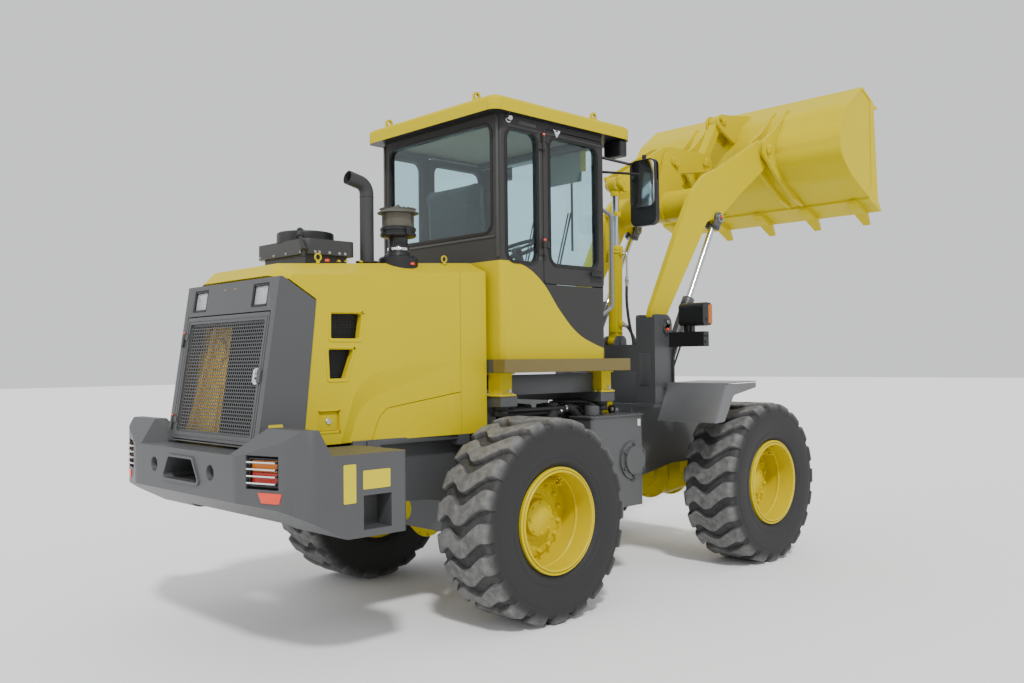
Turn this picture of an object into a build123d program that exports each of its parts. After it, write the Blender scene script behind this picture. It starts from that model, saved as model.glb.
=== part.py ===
"""Compact articulated wheel loader with a bucket on a Z-bar linkage.

Millimetres. X points forward from the rear axle, Y to the left, Z up from the ground. The boom stands
raised and the bucket dumped. At the end every piece is moved along X, so that the origin is on the ground
under the middle of the machine's length.
"""
import math
import os

from build123d import *

# Fits
PIN_FIT = 0.05            # radial gap of a pin or rod in its bore
SIDE_GAP = 5.0            # gap beside an eye between its plates
PANEL_GAP = 6.0           # gap round a door

# Wheels and axles
WHEELBASE = 2123.0
TYRE_RADIUS = 537.5
TYRE_HALF_WIDTH = 200.0
TREAD_HALF_WIDTH = 168.0
WHEEL_Y = 785.0
RIM_SEAT_RADIUS = 263.0
RIM_FLANGE_RADIUS = 281.0
RIM_HALF_WIDTH = 178.0
RIM_WALL = 12.0
HUB_RADIUS = 100.0
SPINDLE_RADIUS = 45.0
AXLE_TUBE_RADIUS = 72.0
AXLE_BOWL_RADIUS = 165.0

# Rear frame and what stands on it
RAIL_Y = 370.0            # inner face of a frame rail
RAIL_THICK = 22.0
RAIL_BOTTOM = 640.0
RAIL_TOP = 955.0
RAIL_REAR = -1330.0
RAIL_FRONT = 600.0
ARTICULATION_X = 1060.0
HINGE_UPPER_Z = 850.0
HINGE_LOWER_Z = 490.0
HINGE_PLATE = 30.0
HINGE_PIN_RADIUS = 32.0
CAB_FLOOR_Z = 1385.0

# Counterweight
WEIGHT_REAR = -1607.0
MOUTH_RIM = 8.0           # how far the rim of the hitch mouth stands out
WEIGHT_FRONT = -940.0
WEIGHT_HALF_WIDTH = 900.0
WEIGHT_TOP = 972.0
WEIGHT_BOTTOM = 605.0
HORN_TOP = 1088.0
WELL_GAP = 6.0            # beside the radiator housing, between the horns
TOW_HOLE_RADIUS = 36.0
TOW_HOLE_Y = 298.0
TOW_HOLE_Z = 880.0
TOW_HOLE_DEPTH = 127.0

# Hood and radiator housing
HOOD_HALF_WIDTH = 460.0
HOOD_TOP_HALF_WIDTH = 320.0
HOOD_REAR = -1333.0
HOOD_FRONT = -40.0
HOOD_BOTTOM = 980.0
HOOD_REAR_TOP = 1856.0
HOOD_FRONT_TOP = 1936.0
HOOD_SHOULDER_DROP = 62.0
HOOD_WALL = 12.0
HOOD_SIDE_WALL = 32.0     # pressed double skin of the sides
HOOD_TAIL = 66.0          # length of the bevel at the rear edge of the top
SWOOSH_DEPTH = 22.0       # recess of the lower side panel at its rear, fading to nothing ahead
SEAM = 4.0
HOUSING_HALF_WIDTH = HOOD_HALF_WIDTH + 6.0
HOUSING_WALL = 12.0
HOUSING_BOTTOM = 985.0
HOUSING_TOP = 1782.0
HOUSING_REAR_LOW = -1463.0
HOUSING_REAR_HIGH = -1341.0
GRILLE_HALF_WIDTH = 420.0
GRILLE_LOW = 12.0         # up the sloped face, from the housing's bottom edge
GRILLE_HIGH = 640.0
GRILLE_THICK = 24.0
GRILLE_HINGE_OUT = 8.0    # hinge axis outside the rear face
GRILLE_HINGE_BESIDE = 13.0

# Cab
CAB_REAR = 0.0
CAB_FRONT = 900.0
CAB_HALF_WIDTH = HOOD_HALF_WIDTH + 85.0
CAB_WALL = 40.0
CAB_TOP = 2765.0
ROOF_REAR = -92.0
ROOF_FRONT = 1122.0
ROOF_HALF_WIDTH = CAB_HALF_WIDTH + 57.0
ROOF_TOP = CAB_TOP + 85.0
DOOR_REAR = 340.0         # door opening
DOOR_FRONT = 885.0
DOOR_TOP = CAB_TOP - 33.0
RIGHT_DOOR_BOTTOM = 1820.0
LEFT_DOOR_BOTTOM = 1450.0
DOOR_THICK = 35.0
DOOR_HINGE_OUT = 14.0     # hinge axis outside the door's face
WINDOW_BOTTOM = 1940.0
WINDOW_TOP = CAB_TOP - 80.0
PANE_TOP = CAB_TOP - 50.0  # rear window and windscreen
GLASS = 6.0
EYE_BORE_RADIUS = 13.0
EYE_PLATE = 14.0

# Tanks beside the frame
TANK_REAR = 665.0
TANK_FRONT = 1150.0
TANK_IN = 425.0
TANK_OUT = 620.0
TANK_BOTTOM = 465.0
TANK_TOP = 1034.0

# Front frame, towers and boom
TOWER_OUT = 460.0         # outer face of a tower
TOWER_IN = 300.0
TOWER_PLATE = 22.0
TOWER_REAR = 1495.0
TOWER_FRONT = 1690.0
TOWER_TOP = 1682.0
TOWER_BOTTOM = 1056.0
BOOM_PIVOT = (1622.0, 1603.0)
LIFT_BASE = (1625.0, 1156.0)
TILT_BASE = (1640.0, 1500.0)
ARM_IN = 360.0
ARM_OUT = 400.0
BOOM_PIN_RADIUS = 30.0
ROCKER_PIVOT = (2234.0, 2874.0)
ROCKER_LINK_PIN = (2725.0, 2939.0)
ROCKER_TILT_PIN = (1660.0, 2640.0)
LINK_BUCKET_PIN = (2958.0, 3303.0)
BUCKET_PIVOT = (3005.0, 3030.0)
LIFT_EYE = (2350.0, 2415.0)
CROSS_TUBE = (2185.0, 2523.0)
CROSS_TUBE_RADIUS = 112.0
FORK_PLATE = 20.0         # cheeks of the lift rod's forked eye
FORK_GAP = 3.0            # beside the boom's lug
FORK_ROOT = 11.0          # thickness of the fork's root, between the rod and the cheeks
FORK_ROOT_GAP = 32.0      # between the fork's root and its eye
LINK_HALF = 36.0          # half width of the link and of the tilt cylinder's eyes
PLATE = 24.0              # rocker and ear plates

# Cylinders: radii
LIFT_BARREL_RADIUS = 40.0
LIFT_ROD_RADIUS = 23.0
LIFT_BARREL_LENGTH = 750.0
TILT_BARREL_RADIUS = 50.0
TILT_ROD_RADIUS = 26.0
TILT_BARREL_LENGTH = 690.0
INDICATOR_BELOW_EYE = 200.0   # clamp of the level indicator, below the tilt rod's eye
STEER_BARREL_RADIUS = 34.0
STEER_ROD_RADIUS = 17.0
STEER_BARREL_LENGTH = 425.0
STEER_BASE = (660.0, 300.0)
STEER_EYE = (1330.0, 250.0)
STEER_Z = 650.0

# Bucket
BUCKET_HALF_WIDTH = 1000.0
BUCKET_WALL = 14.0
TOOTH_Y = (-860.0, -430.0, 0.0, 430.0, 860.0)
TOOTH_TIP = (3812.0, 2455.0)
EDGE_DROP = 15.0          # cutting edge below the shell
BUCKET_STEP = 6.0         # end plates behind the bars along their front edges

SIDES = (("left", 1), ("right", -1))
SIGNS = (1, -1)


# ---------------------------------------------------------------- shaping helpers
def face_from(rows, plane):
    """A closed face from rows of (first, second, corner radius) in the plane."""
    points = [(first, second) for first, second, corner in rows]
    corners = [corner for first, second, corner in rows]
    return plane * make_face(FilletPolyline(*points, radius=corners, close=True))


def side_plate(rows, y_low, y_high):
    """A plate with rows of (x, z, corner radius), from y_low to y_high."""
    low, high = min(y_low, y_high), max(y_low, y_high)
    plane = Plane((0, high, 0), x_dir=(1, 0, 0), z_dir=(0, -1, 0))
    return extrude(face_from(rows, plane), high - low)


def floor_plate(rows, z_low, z_high):
    """A plate with rows of (x, y, corner radius), from z_low to z_high."""
    return extrude(face_from(rows, Plane.XY.offset(z_low)), z_high - z_low)


def cross_plate(rows, x_low, x_high):
    """A plate with rows of (y, z, corner radius), from x_low to x_high."""
    return extrude(face_from(rows, Plane.YZ.offset(x_low)), x_high - x_low)


def block(x_low, x_high, y_low, y_high, z_low, z_high):
    """A box between the given limits, in any order."""
    size = (abs(x_high - x_low), abs(y_high - y_low), abs(z_high - z_low))
    return Pos((x_low + x_high) / 2, (y_low + y_high) / 2, (z_low + z_high) / 2) * Box(*size)


def bar(start, end, radius):
    """A round bar from start to end."""
    direction = Vector(*end) - Vector(*start)
    plane = Plane(origin=start, z_dir=direction)
    return extrude(plane * Circle(radius), direction.length)


def pin(point, radius, y_low, y_high):
    """A round bar along Y at the point (x, z)."""
    return bar((point[0], min(y_low, y_high), point[1]), (point[0], max(y_low, y_high), point[1]), radius)


def post(point, radius, z_low, z_high):
    """A round bar along Z at the point (x, y)."""
    return bar((point[0], point[1], z_low), (point[0], point[1], z_high), radius)


def bent_tube(points, bend, radius):
    """A tube along straight runs joined by bends of the given radius."""
    path = FilletPolyline(*points, radius=bend)
    start = Plane(origin=path @ 0, z_dir=path % 0)
    return sweep(start * Circle(radius), path=path)


def both_sides(shape):
    """The shape and its mirror image across the machine's middle."""
    return shape + mirror(shape, about=Plane.XZ)


def strip(points, thickness):
    """A closed outline of even thickness to the left of rows of (first, second, corner radius)."""
    inner = [(first, second) for first, second, corner in points]
    corners = [corner for first, second, corner in points][1:-1]
    line = FilletPolyline(*inner, radius=corners)
    return make_face(offset(line, thickness, side=Side.LEFT))


# ---------------------------------------------------------------- wheels and axles
def tyre(x, side):
    """Closed rubber ring on the rim; its tread is left plain."""
    # radius, distance from the middle, corner radius
    half = [
        (RIM_SEAT_RADIUS, RIM_HALF_WIDTH - 13, 0),
        (RIM_FLANGE_RADIUS + 4, RIM_HALF_WIDTH - 13, 0),
        (RIM_FLANGE_RADIUS + 22, RIM_HALF_WIDTH, 8),
        (TYRE_RADIUS * 0.75, TYRE_HALF_WIDTH, 80),
        (TYRE_RADIUS * 0.92, TYRE_HALF_WIDTH * 0.96, 30),
        (TYRE_RADIUS, TREAD_HALF_WIDTH, 16),
    ]
    rows = half + [(radius, -width, corner) for radius, width, corner in reversed(half)]
    return Pos(x, side * WHEEL_Y, TYRE_RADIUS) * revolve(face_from(rows, Plane.XY), Axis.Y)


def rim(x, side):
    """Deep rim with its flanges, a disc far inside, and the hub that turns on the axle's spindle."""
    seat = RIM_HALF_WIDTH - 13
    inner = RIM_SEAT_RADIUS - RIM_WALL
    rows = [
        (inner, -RIM_HALF_WIDTH, 0),
        (RIM_FLANGE_RADIUS, -RIM_HALF_WIDTH, 4),
        (RIM_FLANGE_RADIUS, -seat, 0),
        (RIM_SEAT_RADIUS, -seat, 0),
        (RIM_SEAT_RADIUS, seat, 0),
        (RIM_FLANGE_RADIUS, seat, 0),
        (RIM_FLANGE_RADIUS, RIM_HALF_WIDTH, 4),
        (inner, RIM_HALF_WIDTH, 0),
    ]
    body = revolve(face_from(rows, Plane.XY), Axis.Y)
    body += bar((0, -42, 0), (0, -26, 0), inner + 1)
    body += bar((0, -150, 0), (0, 20, 0), HUB_RADIUS)
    body += bar((0, 20, 0), (0, 46, 0), HUB_RADIUS * 0.62)
    for angle in range(0, 360, 45):
        place = (165 * math.cos(math.radians(angle)), 165 * math.sin(math.radians(angle)))
        body += bar((place[0], -26, place[1]), (place[0], -8, place[1]), 15)
    body -= bar((0, -151, 0), (0, -20, 0), SPINDLE_RADIUS + PIN_FIT)
    if side < 0:
        body = Rot(0, 0, 180) * body
    return Pos(x, side * WHEEL_Y, TYRE_RADIUS) * body


def axle(x):
    """Axle housing: bowl, tapered arms, brake flanges and the spindles that carry the hubs."""
    z = TYRE_RADIUS
    hub_inner = WHEEL_Y - 150
    # distance from the middle, radius
    rows = [
        (0, 0, 0),
        (0, 150, 0),
        (80, 150, 40),
        (300, AXLE_TUBE_RADIUS, 60),
        (hub_inner - 60, AXLE_TUBE_RADIUS, 0),
        (hub_inner - 60, 118, 0),
        (hub_inner - 12, 118, 6),
        (hub_inner - 12, SPINDLE_RADIUS, 0),
        (WHEEL_Y - 28, SPINDLE_RADIUS, 0),
        (WHEEL_Y - 28, 0, 0),
    ]
    half = revolve(face_from(rows, Plane.YZ), Axis.Y)
    body = half + mirror(half, about=Plane.XZ)
    body += bar((-130, 0, 0), (130, 0, 0), AXLE_BOWL_RADIUS)
    body += bar((130, 0, 0), (175, 0, 0), 95)
    body += bar((-175, 0, 0), (-130, 0, 0), 95)
    return Pos(x, 0, z) * body


def rear_axle():
    """Rear axle with the trunnions that it rocks on."""
    return axle(0) + bar((-262, 0, TYRE_RADIUS), (262, 0, TYRE_RADIUS), 70)


def front_axle():
    """Front axle with the pads that it is bolted on by."""
    body = axle(WHEELBASE)
    pad = block(WHEELBASE - 90, WHEELBASE + 90, 262, 372, TYRE_RADIUS + 20, RAIL_BOTTOM)
    return body + both_sides(pad)


# ---------------------------------------------------------------- rear frame and its masses
def hinge_horn(z, x_from, forks):
    """Level plates round the articulation pin, with the given offsets from z."""
    shapes = []
    for low, high in forks:
        rows = [
            (x_from, -210, 0), (ARTICULATION_X - 60, -95, 30), (ARTICULATION_X + 85, -80, 70),
            (ARTICULATION_X + 85, 80, 70), (ARTICULATION_X - 60, 95, 30), (x_from, 210, 0),
        ]
        shapes.append(floor_plate(rows, z + low, z + high))
    return shapes


def rear_frame():
    """Two rails, cross plates, axle cradle, hinge forks and the outriggers under the cab."""
    rail_rows = [
        (RAIL_REAR, RAIL_BOTTOM + 40, 30), (-420, RAIL_BOTTOM, 80), (RAIL_FRONT, RAIL_BOTTOM - 180, 40),
        (RAIL_FRONT, RAIL_TOP, 0), (RAIL_REAR, RAIL_TOP, 0),
    ]
    # the rail arches over the axle tube
    rail = side_plate(rail_rows, RAIL_Y, RAIL_Y + RAIL_THICK)
    rail -= side_plate([(-260, 300, 0), (-210, 650, 60), (210, 650, 60), (260, 300, 0)], RAIL_Y - 1, 400)
    body = both_sides(rail)
    reach = RAIL_Y + 1
    body += block(RAIL_REAR, RAIL_REAR + 25, -reach, reach, RAIL_BOTTOM + 40, RAIL_TOP)
    for x in (-275, 250):
        cradle = block(x, x + 25, -reach, reach, TYRE_RADIUS - 95, TYRE_RADIUS + 240)
        body += cradle - bar((x - 1, 0, TYRE_RADIUS), (x + 26, 0, TYRE_RADIUS), 70)
    body += block(RAIL_FRONT - 25, RAIL_FRONT, -reach, reach, RAIL_BOTTOM - 180, RAIL_TOP)
    for z in (HINGE_UPPER_Z, HINGE_LOWER_Z):
        half = HINGE_PLATE / 2
        forks = ((half + SIDE_GAP, half + SIDE_GAP + 24), (-half - SIDE_GAP - 24, -half - SIDE_GAP))
        for fork in hinge_horn(z, RAIL_FRONT - 1, forks):
            body += fork
        body += post((ARTICULATION_X, 0), HINGE_PIN_RADIUS, z - half - 40, z + half + 40)
    body += block(RAIL_FRONT - 1, 760, -12, 12, HINGE_LOWER_Z, HINGE_UPPER_Z)
    # ledges under the hood
    for x in (-850, -250):
        body += both_sides(block(x, x + 80, RAIL_Y + 1, HOOD_HALF_WIDTH, RAIL_TOP - 30, HOOD_BOTTOM))
    # outriggers that carry the cab and the tanks
    for x in (-20, 830):
        beam = block(x, x + 130, -RAIL_Y - 180, RAIL_Y + 180, 1120, 1180)
        body += beam
    body += both_sides(block(0, 90, RAIL_Y, RAIL_Y + RAIL_THICK, RAIL_TOP - 1, 1121))
    arch = side_plate([(520, 900, 0), (600, 900, 0), (960, 1121, 0), (830, 1121, 0)], RAIL_Y,
                      RAIL_Y + RAIL_THICK)
    body += both_sides(arch)
    steer = block(RAIL_FRONT - 1, STEER_BASE[0] + 24, STEER_BASE[1] - 24, STEER_BASE[1] + 24, 0, 12)
    for low in (STEER_Z + 26, STEER_Z - 38):
        body += both_sides(Pos(0, 0, low) * steer)
    body += both_sides(post(STEER_BASE, 14, STEER_Z - 44, STEER_Z + 44))
    return body


LAMP_POCKET_DEPTH = 110.0


def lamp_pocket(side):
    """Middle of the tail lamp's pocket, turned with the counterweight's slanted corner."""
    return Pos(-1568, side * 688, 905) * Rot(0, 0, side * -17.5)


def counterweight():
    """Cast U-shaped block with horns, tow holes, a hitch mouth and lamp pockets."""
    rows_right = [
        (WEIGHT_REAR, -530, 130), (-1525, -815, 110), (-1440, -WEIGHT_HALF_WIDTH, 60),
        (WEIGHT_FRONT, -WEIGHT_HALF_WIDTH, 25), (WEIGHT_FRONT, -500, 20), (RAIL_REAR, -500, 30),
    ]
    rows = rows_right + [(x, -y, corner) for x, y, corner in reversed(rows_right)]
    body = floor_plate(rows, WEIGHT_BOTTOM, HORN_TOP)
    wide = WEIGHT_HALF_WIDTH + 100
    under = [(-1720, 500, 0), (-1720, 790, 0), (-1545, 750, 60), (-1275, WEIGHT_BOTTOM, 60),
             (-1200, WEIGHT_BOTTOM, 0), (-1200, 500, 0)]
    body -= side_plate(under, -wide, wide)
    well_half = HOUSING_HALF_WIDTH + WELL_GAP
    well = [(-well_half, WEIGHT_TOP, 0), (well_half, WEIGHT_TOP, 0),
            (well_half + 125, HORN_TOP + 10, 0), (-well_half - 125, HORN_TOP + 10, 0)]
    body -= cross_plate(well, -1720, -900)
    ahead = [(-1418, HORN_TOP + 10, 0), (-1348, WEIGHT_TOP, 0), (-900, WEIGHT_TOP, 0),
             (-900, HORN_TOP + 10, 0)]
    body -= side_plate(ahead, -wide, wide)
    behind = [(-1720, WEIGHT_TOP, 0), (-1602, WEIGHT_TOP, 0), (-1465, HORN_TOP + 10, 0),
              (-1720, HORN_TOP + 10, 0)]
    body -= side_plate(behind, -wide, wide)
    # the hitch mouth narrows upwards and has a raised rim
    rim_rows = [(-207, 811, 20), (207, 811, 20), (132, 941, 20), (-132, 941, 20)]
    body += cross_plate(rim_rows, WEIGHT_REAR - MOUTH_RIM, WEIGHT_REAR + 1)
    mouth = [(-189, 823, 14), (189, 823, 14), (123, 929, 14), (-123, 929, 14)]
    body -= cross_plate(mouth, WEIGHT_REAR - 20, WEIGHT_REAR + 165)
    for side in SIGNS:
        tow = (WEIGHT_REAR - 20, side * TOW_HOLE_Y, TOW_HOLE_Z)
        body -= bar(tow, (WEIGHT_REAR + TOW_HOLE_DEPTH, side * TOW_HOLE_Y, TOW_HOLE_Z), TOW_HOLE_RADIUS)
        body -= lamp_pocket(side) * Box(LAMP_POCKET_DEPTH, 190, 145)
        body -= block(-1185, -1033, side * 790, side * 920, 637, 788)
    return body


def powertrain():
    """Engine and transmission as plain blocks on their mounts, with the bell housing between them."""
    body = block(-1010, -170, -265, 265, 790, 1560)
    body += bar((-171, 0, 945), (291, 0, 945), 150)
    body += block(290, 560, -240, 240, 560, 1085)
    for x, z in ((-900, 840), (-330, 840)):
        body += block(x, x + 60, -RAIL_Y, RAIL_Y, z, z + 50)
    return body + block(390, 450, -RAIL_Y, RAIL_Y, 700, 750)


# ---------------------------------------------------------------- hood and radiator housing
def hood_section(x, top, inset, side_inset):
    """The hood's section at x: a box with chamfered shoulders, made smaller by the insets."""
    half = HOOD_HALF_WIDTH - side_inset
    crown = HOOD_TOP_HALF_WIDTH - inset * 0.6
    shoulder = top - HOOD_SHOULDER_DROP
    rows = [(-half, HOOD_BOTTOM - inset * 10, 0), (half, HOOD_BOTTOM - inset * 10, 0),
            (half, shoulder - inset * 0.6, 0),
            (crown, top - inset, 0), (-crown, top - inset, 0), (-half, shoulder - inset * 0.6, 0)]
    return face_from(rows, Plane.YZ.offset(x))


def hood_form(inset=0.0, side_inset=0.0):
    """The hood's outer form, filled, or a smaller one inside it."""
    stations = [(HOOD_REAR + inset, HOOD_REAR_TOP - HOOD_TAIL), (HOOD_REAR + HOOD_TAIL, HOOD_REAR_TOP),
                (HOOD_FRONT + (10 if inset else 0), HOOD_FRONT_TOP)]
    return loft([hood_section(x, top, inset, side_inset) for x, top in stations], ruled=True)


def swoosh_cutter():
    """The recess in the right side: a curved shoulder that fades out ahead, cut in from the outer skin."""
    # x, z, corner radius: the shoulder's outer edge, then its inner edge on the recessed panel
    outer = [(-1007, 900, 0), (-1007, 990, 0), (-924, 1228, 180), (-841, 1312, 160), (-579, 1373, 500),
             (-281, 1380, 0), (-281, 900, 0)]
    inner = [(-945, 900, 0), (-940, 986, 0), (-897, 1136, 180), (-800, 1201, 160), (-504, 1288, 500),
             (-314, 1358, 0), (-290, 900, 0)]
    skin = Plane((0, -HOOD_HALF_WIDTH - 0.5, 0), x_dir=(1, 0, 0), z_dir=(0, -1, 0))
    reach = outer[-1][0] - outer[0][0]
    floor = Plane((outer[-1][0], -HOOD_HALF_WIDTH + 0.5, 0), x_dir=(reach, SWOOSH_DEPTH * -1.0, 0),
                  z_dir=(-SWOOSH_DEPTH, -reach, 0))
    turned = [(x - outer[-1][0], z, corner) for x, z, corner in inner]
    return loft([face_from(outer, skin), face_from(turned, floor)], ruled=True)


def engine_hood():
    """Sheet shell over the engine, open below: vents, a recess and seams in each side, a bevelled tail."""
    body = hood_form()
    body -= both_sides(swoosh_cutter())
    # the seam round the lower panel, and the shut line across the whole hood
    seam = [(-812, 970, 0), (-809, 983, 0), (-765, 1096, 90), (-714, 1140, 60), (-231, 1208, 0)]
    plane = Plane((0, -HOOD_HALF_WIDTH - 1, 0), x_dir=(1, 0, 0), z_dir=(0, -1, 0))
    depth = SWOOSH_DEPTH + SEAM
    body -= both_sides(extrude(plane * strip(seam, SEAM), -depth))
    slit = block(-232, -228, -600, 600, 900, 2000)
    body -= slit - hood_form(SEAM, SEAM)
    body -= hood_form(HOOD_WALL, HOOD_SIDE_WALL)
    tail = [(-1500, 1793, 0), (-1325, 1793, 0), (-1140, 1682, 0), (-1205, 1074, 0), (-1205, 900, 0),
            (-1500, 900, 0)]
    body -= side_plate(tail, -600, 600)
    upper_vent = [(-1059, 1615, 8), (-880, 1618, 8), (-898, 1494, 8), (-1060, 1494, 8)]
    lower_vent = [(-1075, 1440, 8), (-929, 1440, 8), (-982, 1298, 8), (-1068, 1298, 8)]
    body -= side_plate(upper_vent, -600, 600)
    body -= side_plate(lower_vent, -600, 600)
    # a shallow square pocket for the latch
    pocket = side_plate([(-1132, 1042, 6), (-1015, 1042, 6), (-1015, 1142, 6), (-1132, 1142, 6)],
                        -HOOD_HALF_WIDTH - 1, -HOOD_HALF_WIDTH + 14)
    return body - both_sides(pocket)


def rear_face_plane():
    """Plane of the housing's sloped rear face: first axis to the right, second up the slope."""
    origin = (HOUSING_REAR_LOW, 0, HOUSING_BOTTOM)
    rise = HOUSING_TOP - HOUSING_BOTTOM
    run = HOUSING_REAR_HIGH - HOUSING_REAR_LOW
    return Plane(origin=origin, x_dir=(0, -1, 0), z_dir=(-rise, 0, run))


def on_rear_face(rows, low, high):
    """A plate on the sloped rear face, from low to high along its outward normal."""
    return extrude(face_from(rows, rear_face_plane().offset(low)), high - low)


def rectangle(half, low, high, corner):
    """Rows of a rectangle, symmetric about the middle."""
    return [(-half, low, corner), (half, low, corner), (half, high, corner), (-half, high, corner)]


def radiator_housing():
    """Grey surround behind the radiator, with the door's opening and two lamp openings."""
    rows = [(HOUSING_REAR_LOW, HOUSING_BOTTOM, 0), (HOUSING_REAR_HIGH, HOUSING_TOP, 0),
            (-1325, HOUSING_TOP, 0),
            (-1145, 1674, 0), (-1210, 1074, 0), (-1210, HOUSING_BOTTOM, 0)]
    body = side_plate(rows, -HOUSING_HALF_WIDTH, HOUSING_HALF_WIDTH)
    wall = HOUSING_WALL
    hollow = [(HOUSING_REAR_LOW + wall, HOUSING_BOTTOM - 50, 0),
              (HOUSING_REAR_HIGH + wall, HOUSING_TOP - wall, 0),
              (-1330, HOUSING_TOP - wall, 0), (-1100, 1640, 0), (-1100, HOUSING_BOTTOM - 50, 0)]
    body -= side_plate(hollow, -HOUSING_HALF_WIDTH + wall, HOUSING_HALF_WIDTH - wall)
    body -= on_rear_face(rectangle(GRILLE_HALF_WIDTH + PANEL_GAP, GRILLE_LOW - PANEL_GAP,
                                   GRILLE_HIGH + PANEL_GAP, 6),
                         -60, 20)
    lamp = [(-75, 668, 6), (75, 668, 6), (75, 782, 6), (-75, 782, 6)]
    for side in SIGNS:
        body -= Pos(0, side * 306, 0) * on_rear_face(lamp, -60, 20)
    for side in SIGNS:
        body += block(-1420, -1230, side * (HOUSING_HALF_WIDTH - 40), side * HOUSING_HALF_WIDTH, WEIGHT_TOP,
                      HOUSING_BOTTOM + 1)
    # fixed halves of the door's hinges, each with the pin
    beside = -GRILLE_HALF_WIDTH - GRILLE_HINGE_BESIDE
    for height in GRILLE_HINGES:
        body += on_grille_hinge(height - 36, height - 1, 7) + on_grille_hinge(height - 2, height + 34, 4)
        leaf = [(beside - 26, height - 33, 0), (beside, height - 33, 0), (beside, height - 3, 0),
                (beside - 26, height - 3, 0)]
        body += on_rear_face(leaf, -1, 4)
    return body


def on_grille_hinge(low, high, radius):
    """A round bar on the grille door's hinge axis, from low to high up the sloped face."""
    plane = rear_face_plane()
    axis = plane.offset(GRILLE_HINGE_OUT)
    start = axis.from_local_coords(Vector(-GRILLE_HALF_WIDTH - GRILLE_HINGE_BESIDE, low, 0))
    end = axis.from_local_coords(Vector(-GRILLE_HALF_WIDTH - GRILLE_HINGE_BESIDE, high, 0))
    return bar(tuple(start), tuple(end), radius)


GRILLE_HINGES = (90.0, 520.0)


def grille_door():
    """Frame of the rear door: a sheet rim for the mesh, two hinge leaves and a latch."""
    body = on_rear_face(rectangle(GRILLE_HALF_WIDTH, GRILLE_LOW, GRILLE_HIGH, 5), -GRILLE_THICK, 0)
    body -= on_rear_face(rectangle(GRILLE_HALF_WIDTH - 36, GRILLE_LOW + 36, GRILLE_HIGH - 36, 12), -60, 20)
    beside = -GRILLE_HALF_WIDTH - GRILLE_HINGE_BESIDE
    for height in GRILLE_HINGES:
        body += on_grille_hinge(height, height + 36, 7)
        low, high = height + 3, height + 33
        for start, under in ((beside, 0.5), (-GRILLE_HALF_WIDTH + 2, -1)):
            leaf = [(start, low, 0), (-GRILLE_HALF_WIDTH + 30, low, 0), (-GRILLE_HALF_WIDTH + 30, high, 0),
                    (start, high, 0)]
            body += on_rear_face(leaf, under, 5)
        body -= on_grille_hinge(height - 1, height + 37, 4 + PIN_FIT)
    latch = [(GRILLE_HALF_WIDTH - 33, 300, 12), (GRILLE_HALF_WIDTH - 3, 300, 12),
             (GRILLE_HALF_WIDTH - 3, 370, 12), (GRILLE_HALF_WIDTH - 33, 370, 12)]
    return body + on_rear_face(latch, -1, 8)


def grille_mesh():
    """The sheet that the door's rim holds."""
    return on_rear_face(rectangle(GRILLE_HALF_WIDTH - 36, GRILLE_LOW + 36, GRILLE_HIGH - 36, 12), -14, -8)


def radiator():
    """Core and tanks, just ahead of the housing."""
    return block(-1190, -1060, -400, 400, RAIL_TOP, 1660)


def rear_lamps():
    """Lamps in the housing's top and in the counterweight's corners."""
    lamp = [(-73, 670, 4), (73, 670, 4), (73, 780, 4), (-73, 780, 4)]
    shapes = []
    for side in SIGNS:
        shapes.append(Pos(0, side * 306, 0) * on_rear_face(lamp, -50, -3))
        back = LAMP_POCKET_DEPTH / 2 - 25
        shapes.append(lamp_pocket(side) * Pos(back, 0, 0) * Box(50, 150, 110))
    return Compound(children=shapes)


def cab_lamps():
    """Two lamps under the front corners of the roof."""
    lamps = [block(1000, 1070, side * 450, side * 590, CAB_TOP - 105, CAB_TOP) for side in SIGNS]
    return Compound(children=lamps)


def exhaust_stack():
    """Straight pipe with a mitred mouth that points back."""
    pipe = bent_tube([(-680, -228, 1880), (-680, -228, 2318), (-800, -228, 2345)], 60, 37)
    bore = bent_tube([(-680, -228, 2100), (-680, -228, 2318), (-802, -228, 2345)], 60, 33)
    return pipe - bore - hood_form()


def air_precleaner():
    """Turned bowl, clamp band, neck and cap over the air intake."""
    # radius, height, corner radius
    rows = [(0, 1870, 0), (108, 1870, 0), (108, 1925, 0), (88, 1968, 0), (52, 1968, 0), (52, 2046, 0),
            (92, 2046, 4), (96, 2098, 4),
            (84, 2100, 0), (84, 2172, 0), (110, 2176, 0), (108, 2190, 0), (60, 2218, 20), (0, 2222, 0)]
    return Pos(-523, -294, 0) * revolve(face_from(rows, Plane.XZ), Axis.Z) - hood_form()


def condenser():
    """Flat box on a foot on the hood, with a round fan on top."""
    rows = [(-1067, -246, 40), (-760, -246, 40), (-760, 246, 40), (-1067, 246, 40)]
    body = floor_plate(rows, 1927, 2005)
    body += post((-914, 0), 143, 2004, 2062)
    body += block(-1040, -790, -200, 200, 1850, 1928)
    return body - hood_form()


# ---------------------------------------------------------------- tanks and steps
def tank(side):
    """Sheet tank with rounded upright edges and its lid plate."""
    rows = [(TANK_REAR, side * TANK_IN, 20), (TANK_FRONT, side * TANK_IN, 20),
            (TANK_FRONT, side * TANK_OUT, 20),
            (TANK_REAR, side * TANK_OUT, 20)]
    body = floor_plate(rows, TANK_BOTTOM, TANK_TOP)
    body += block(690, 730, side * (RAIL_Y + RAIL_THICK), side * (TANK_IN + 1), 985, 1015)
    return body


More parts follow.
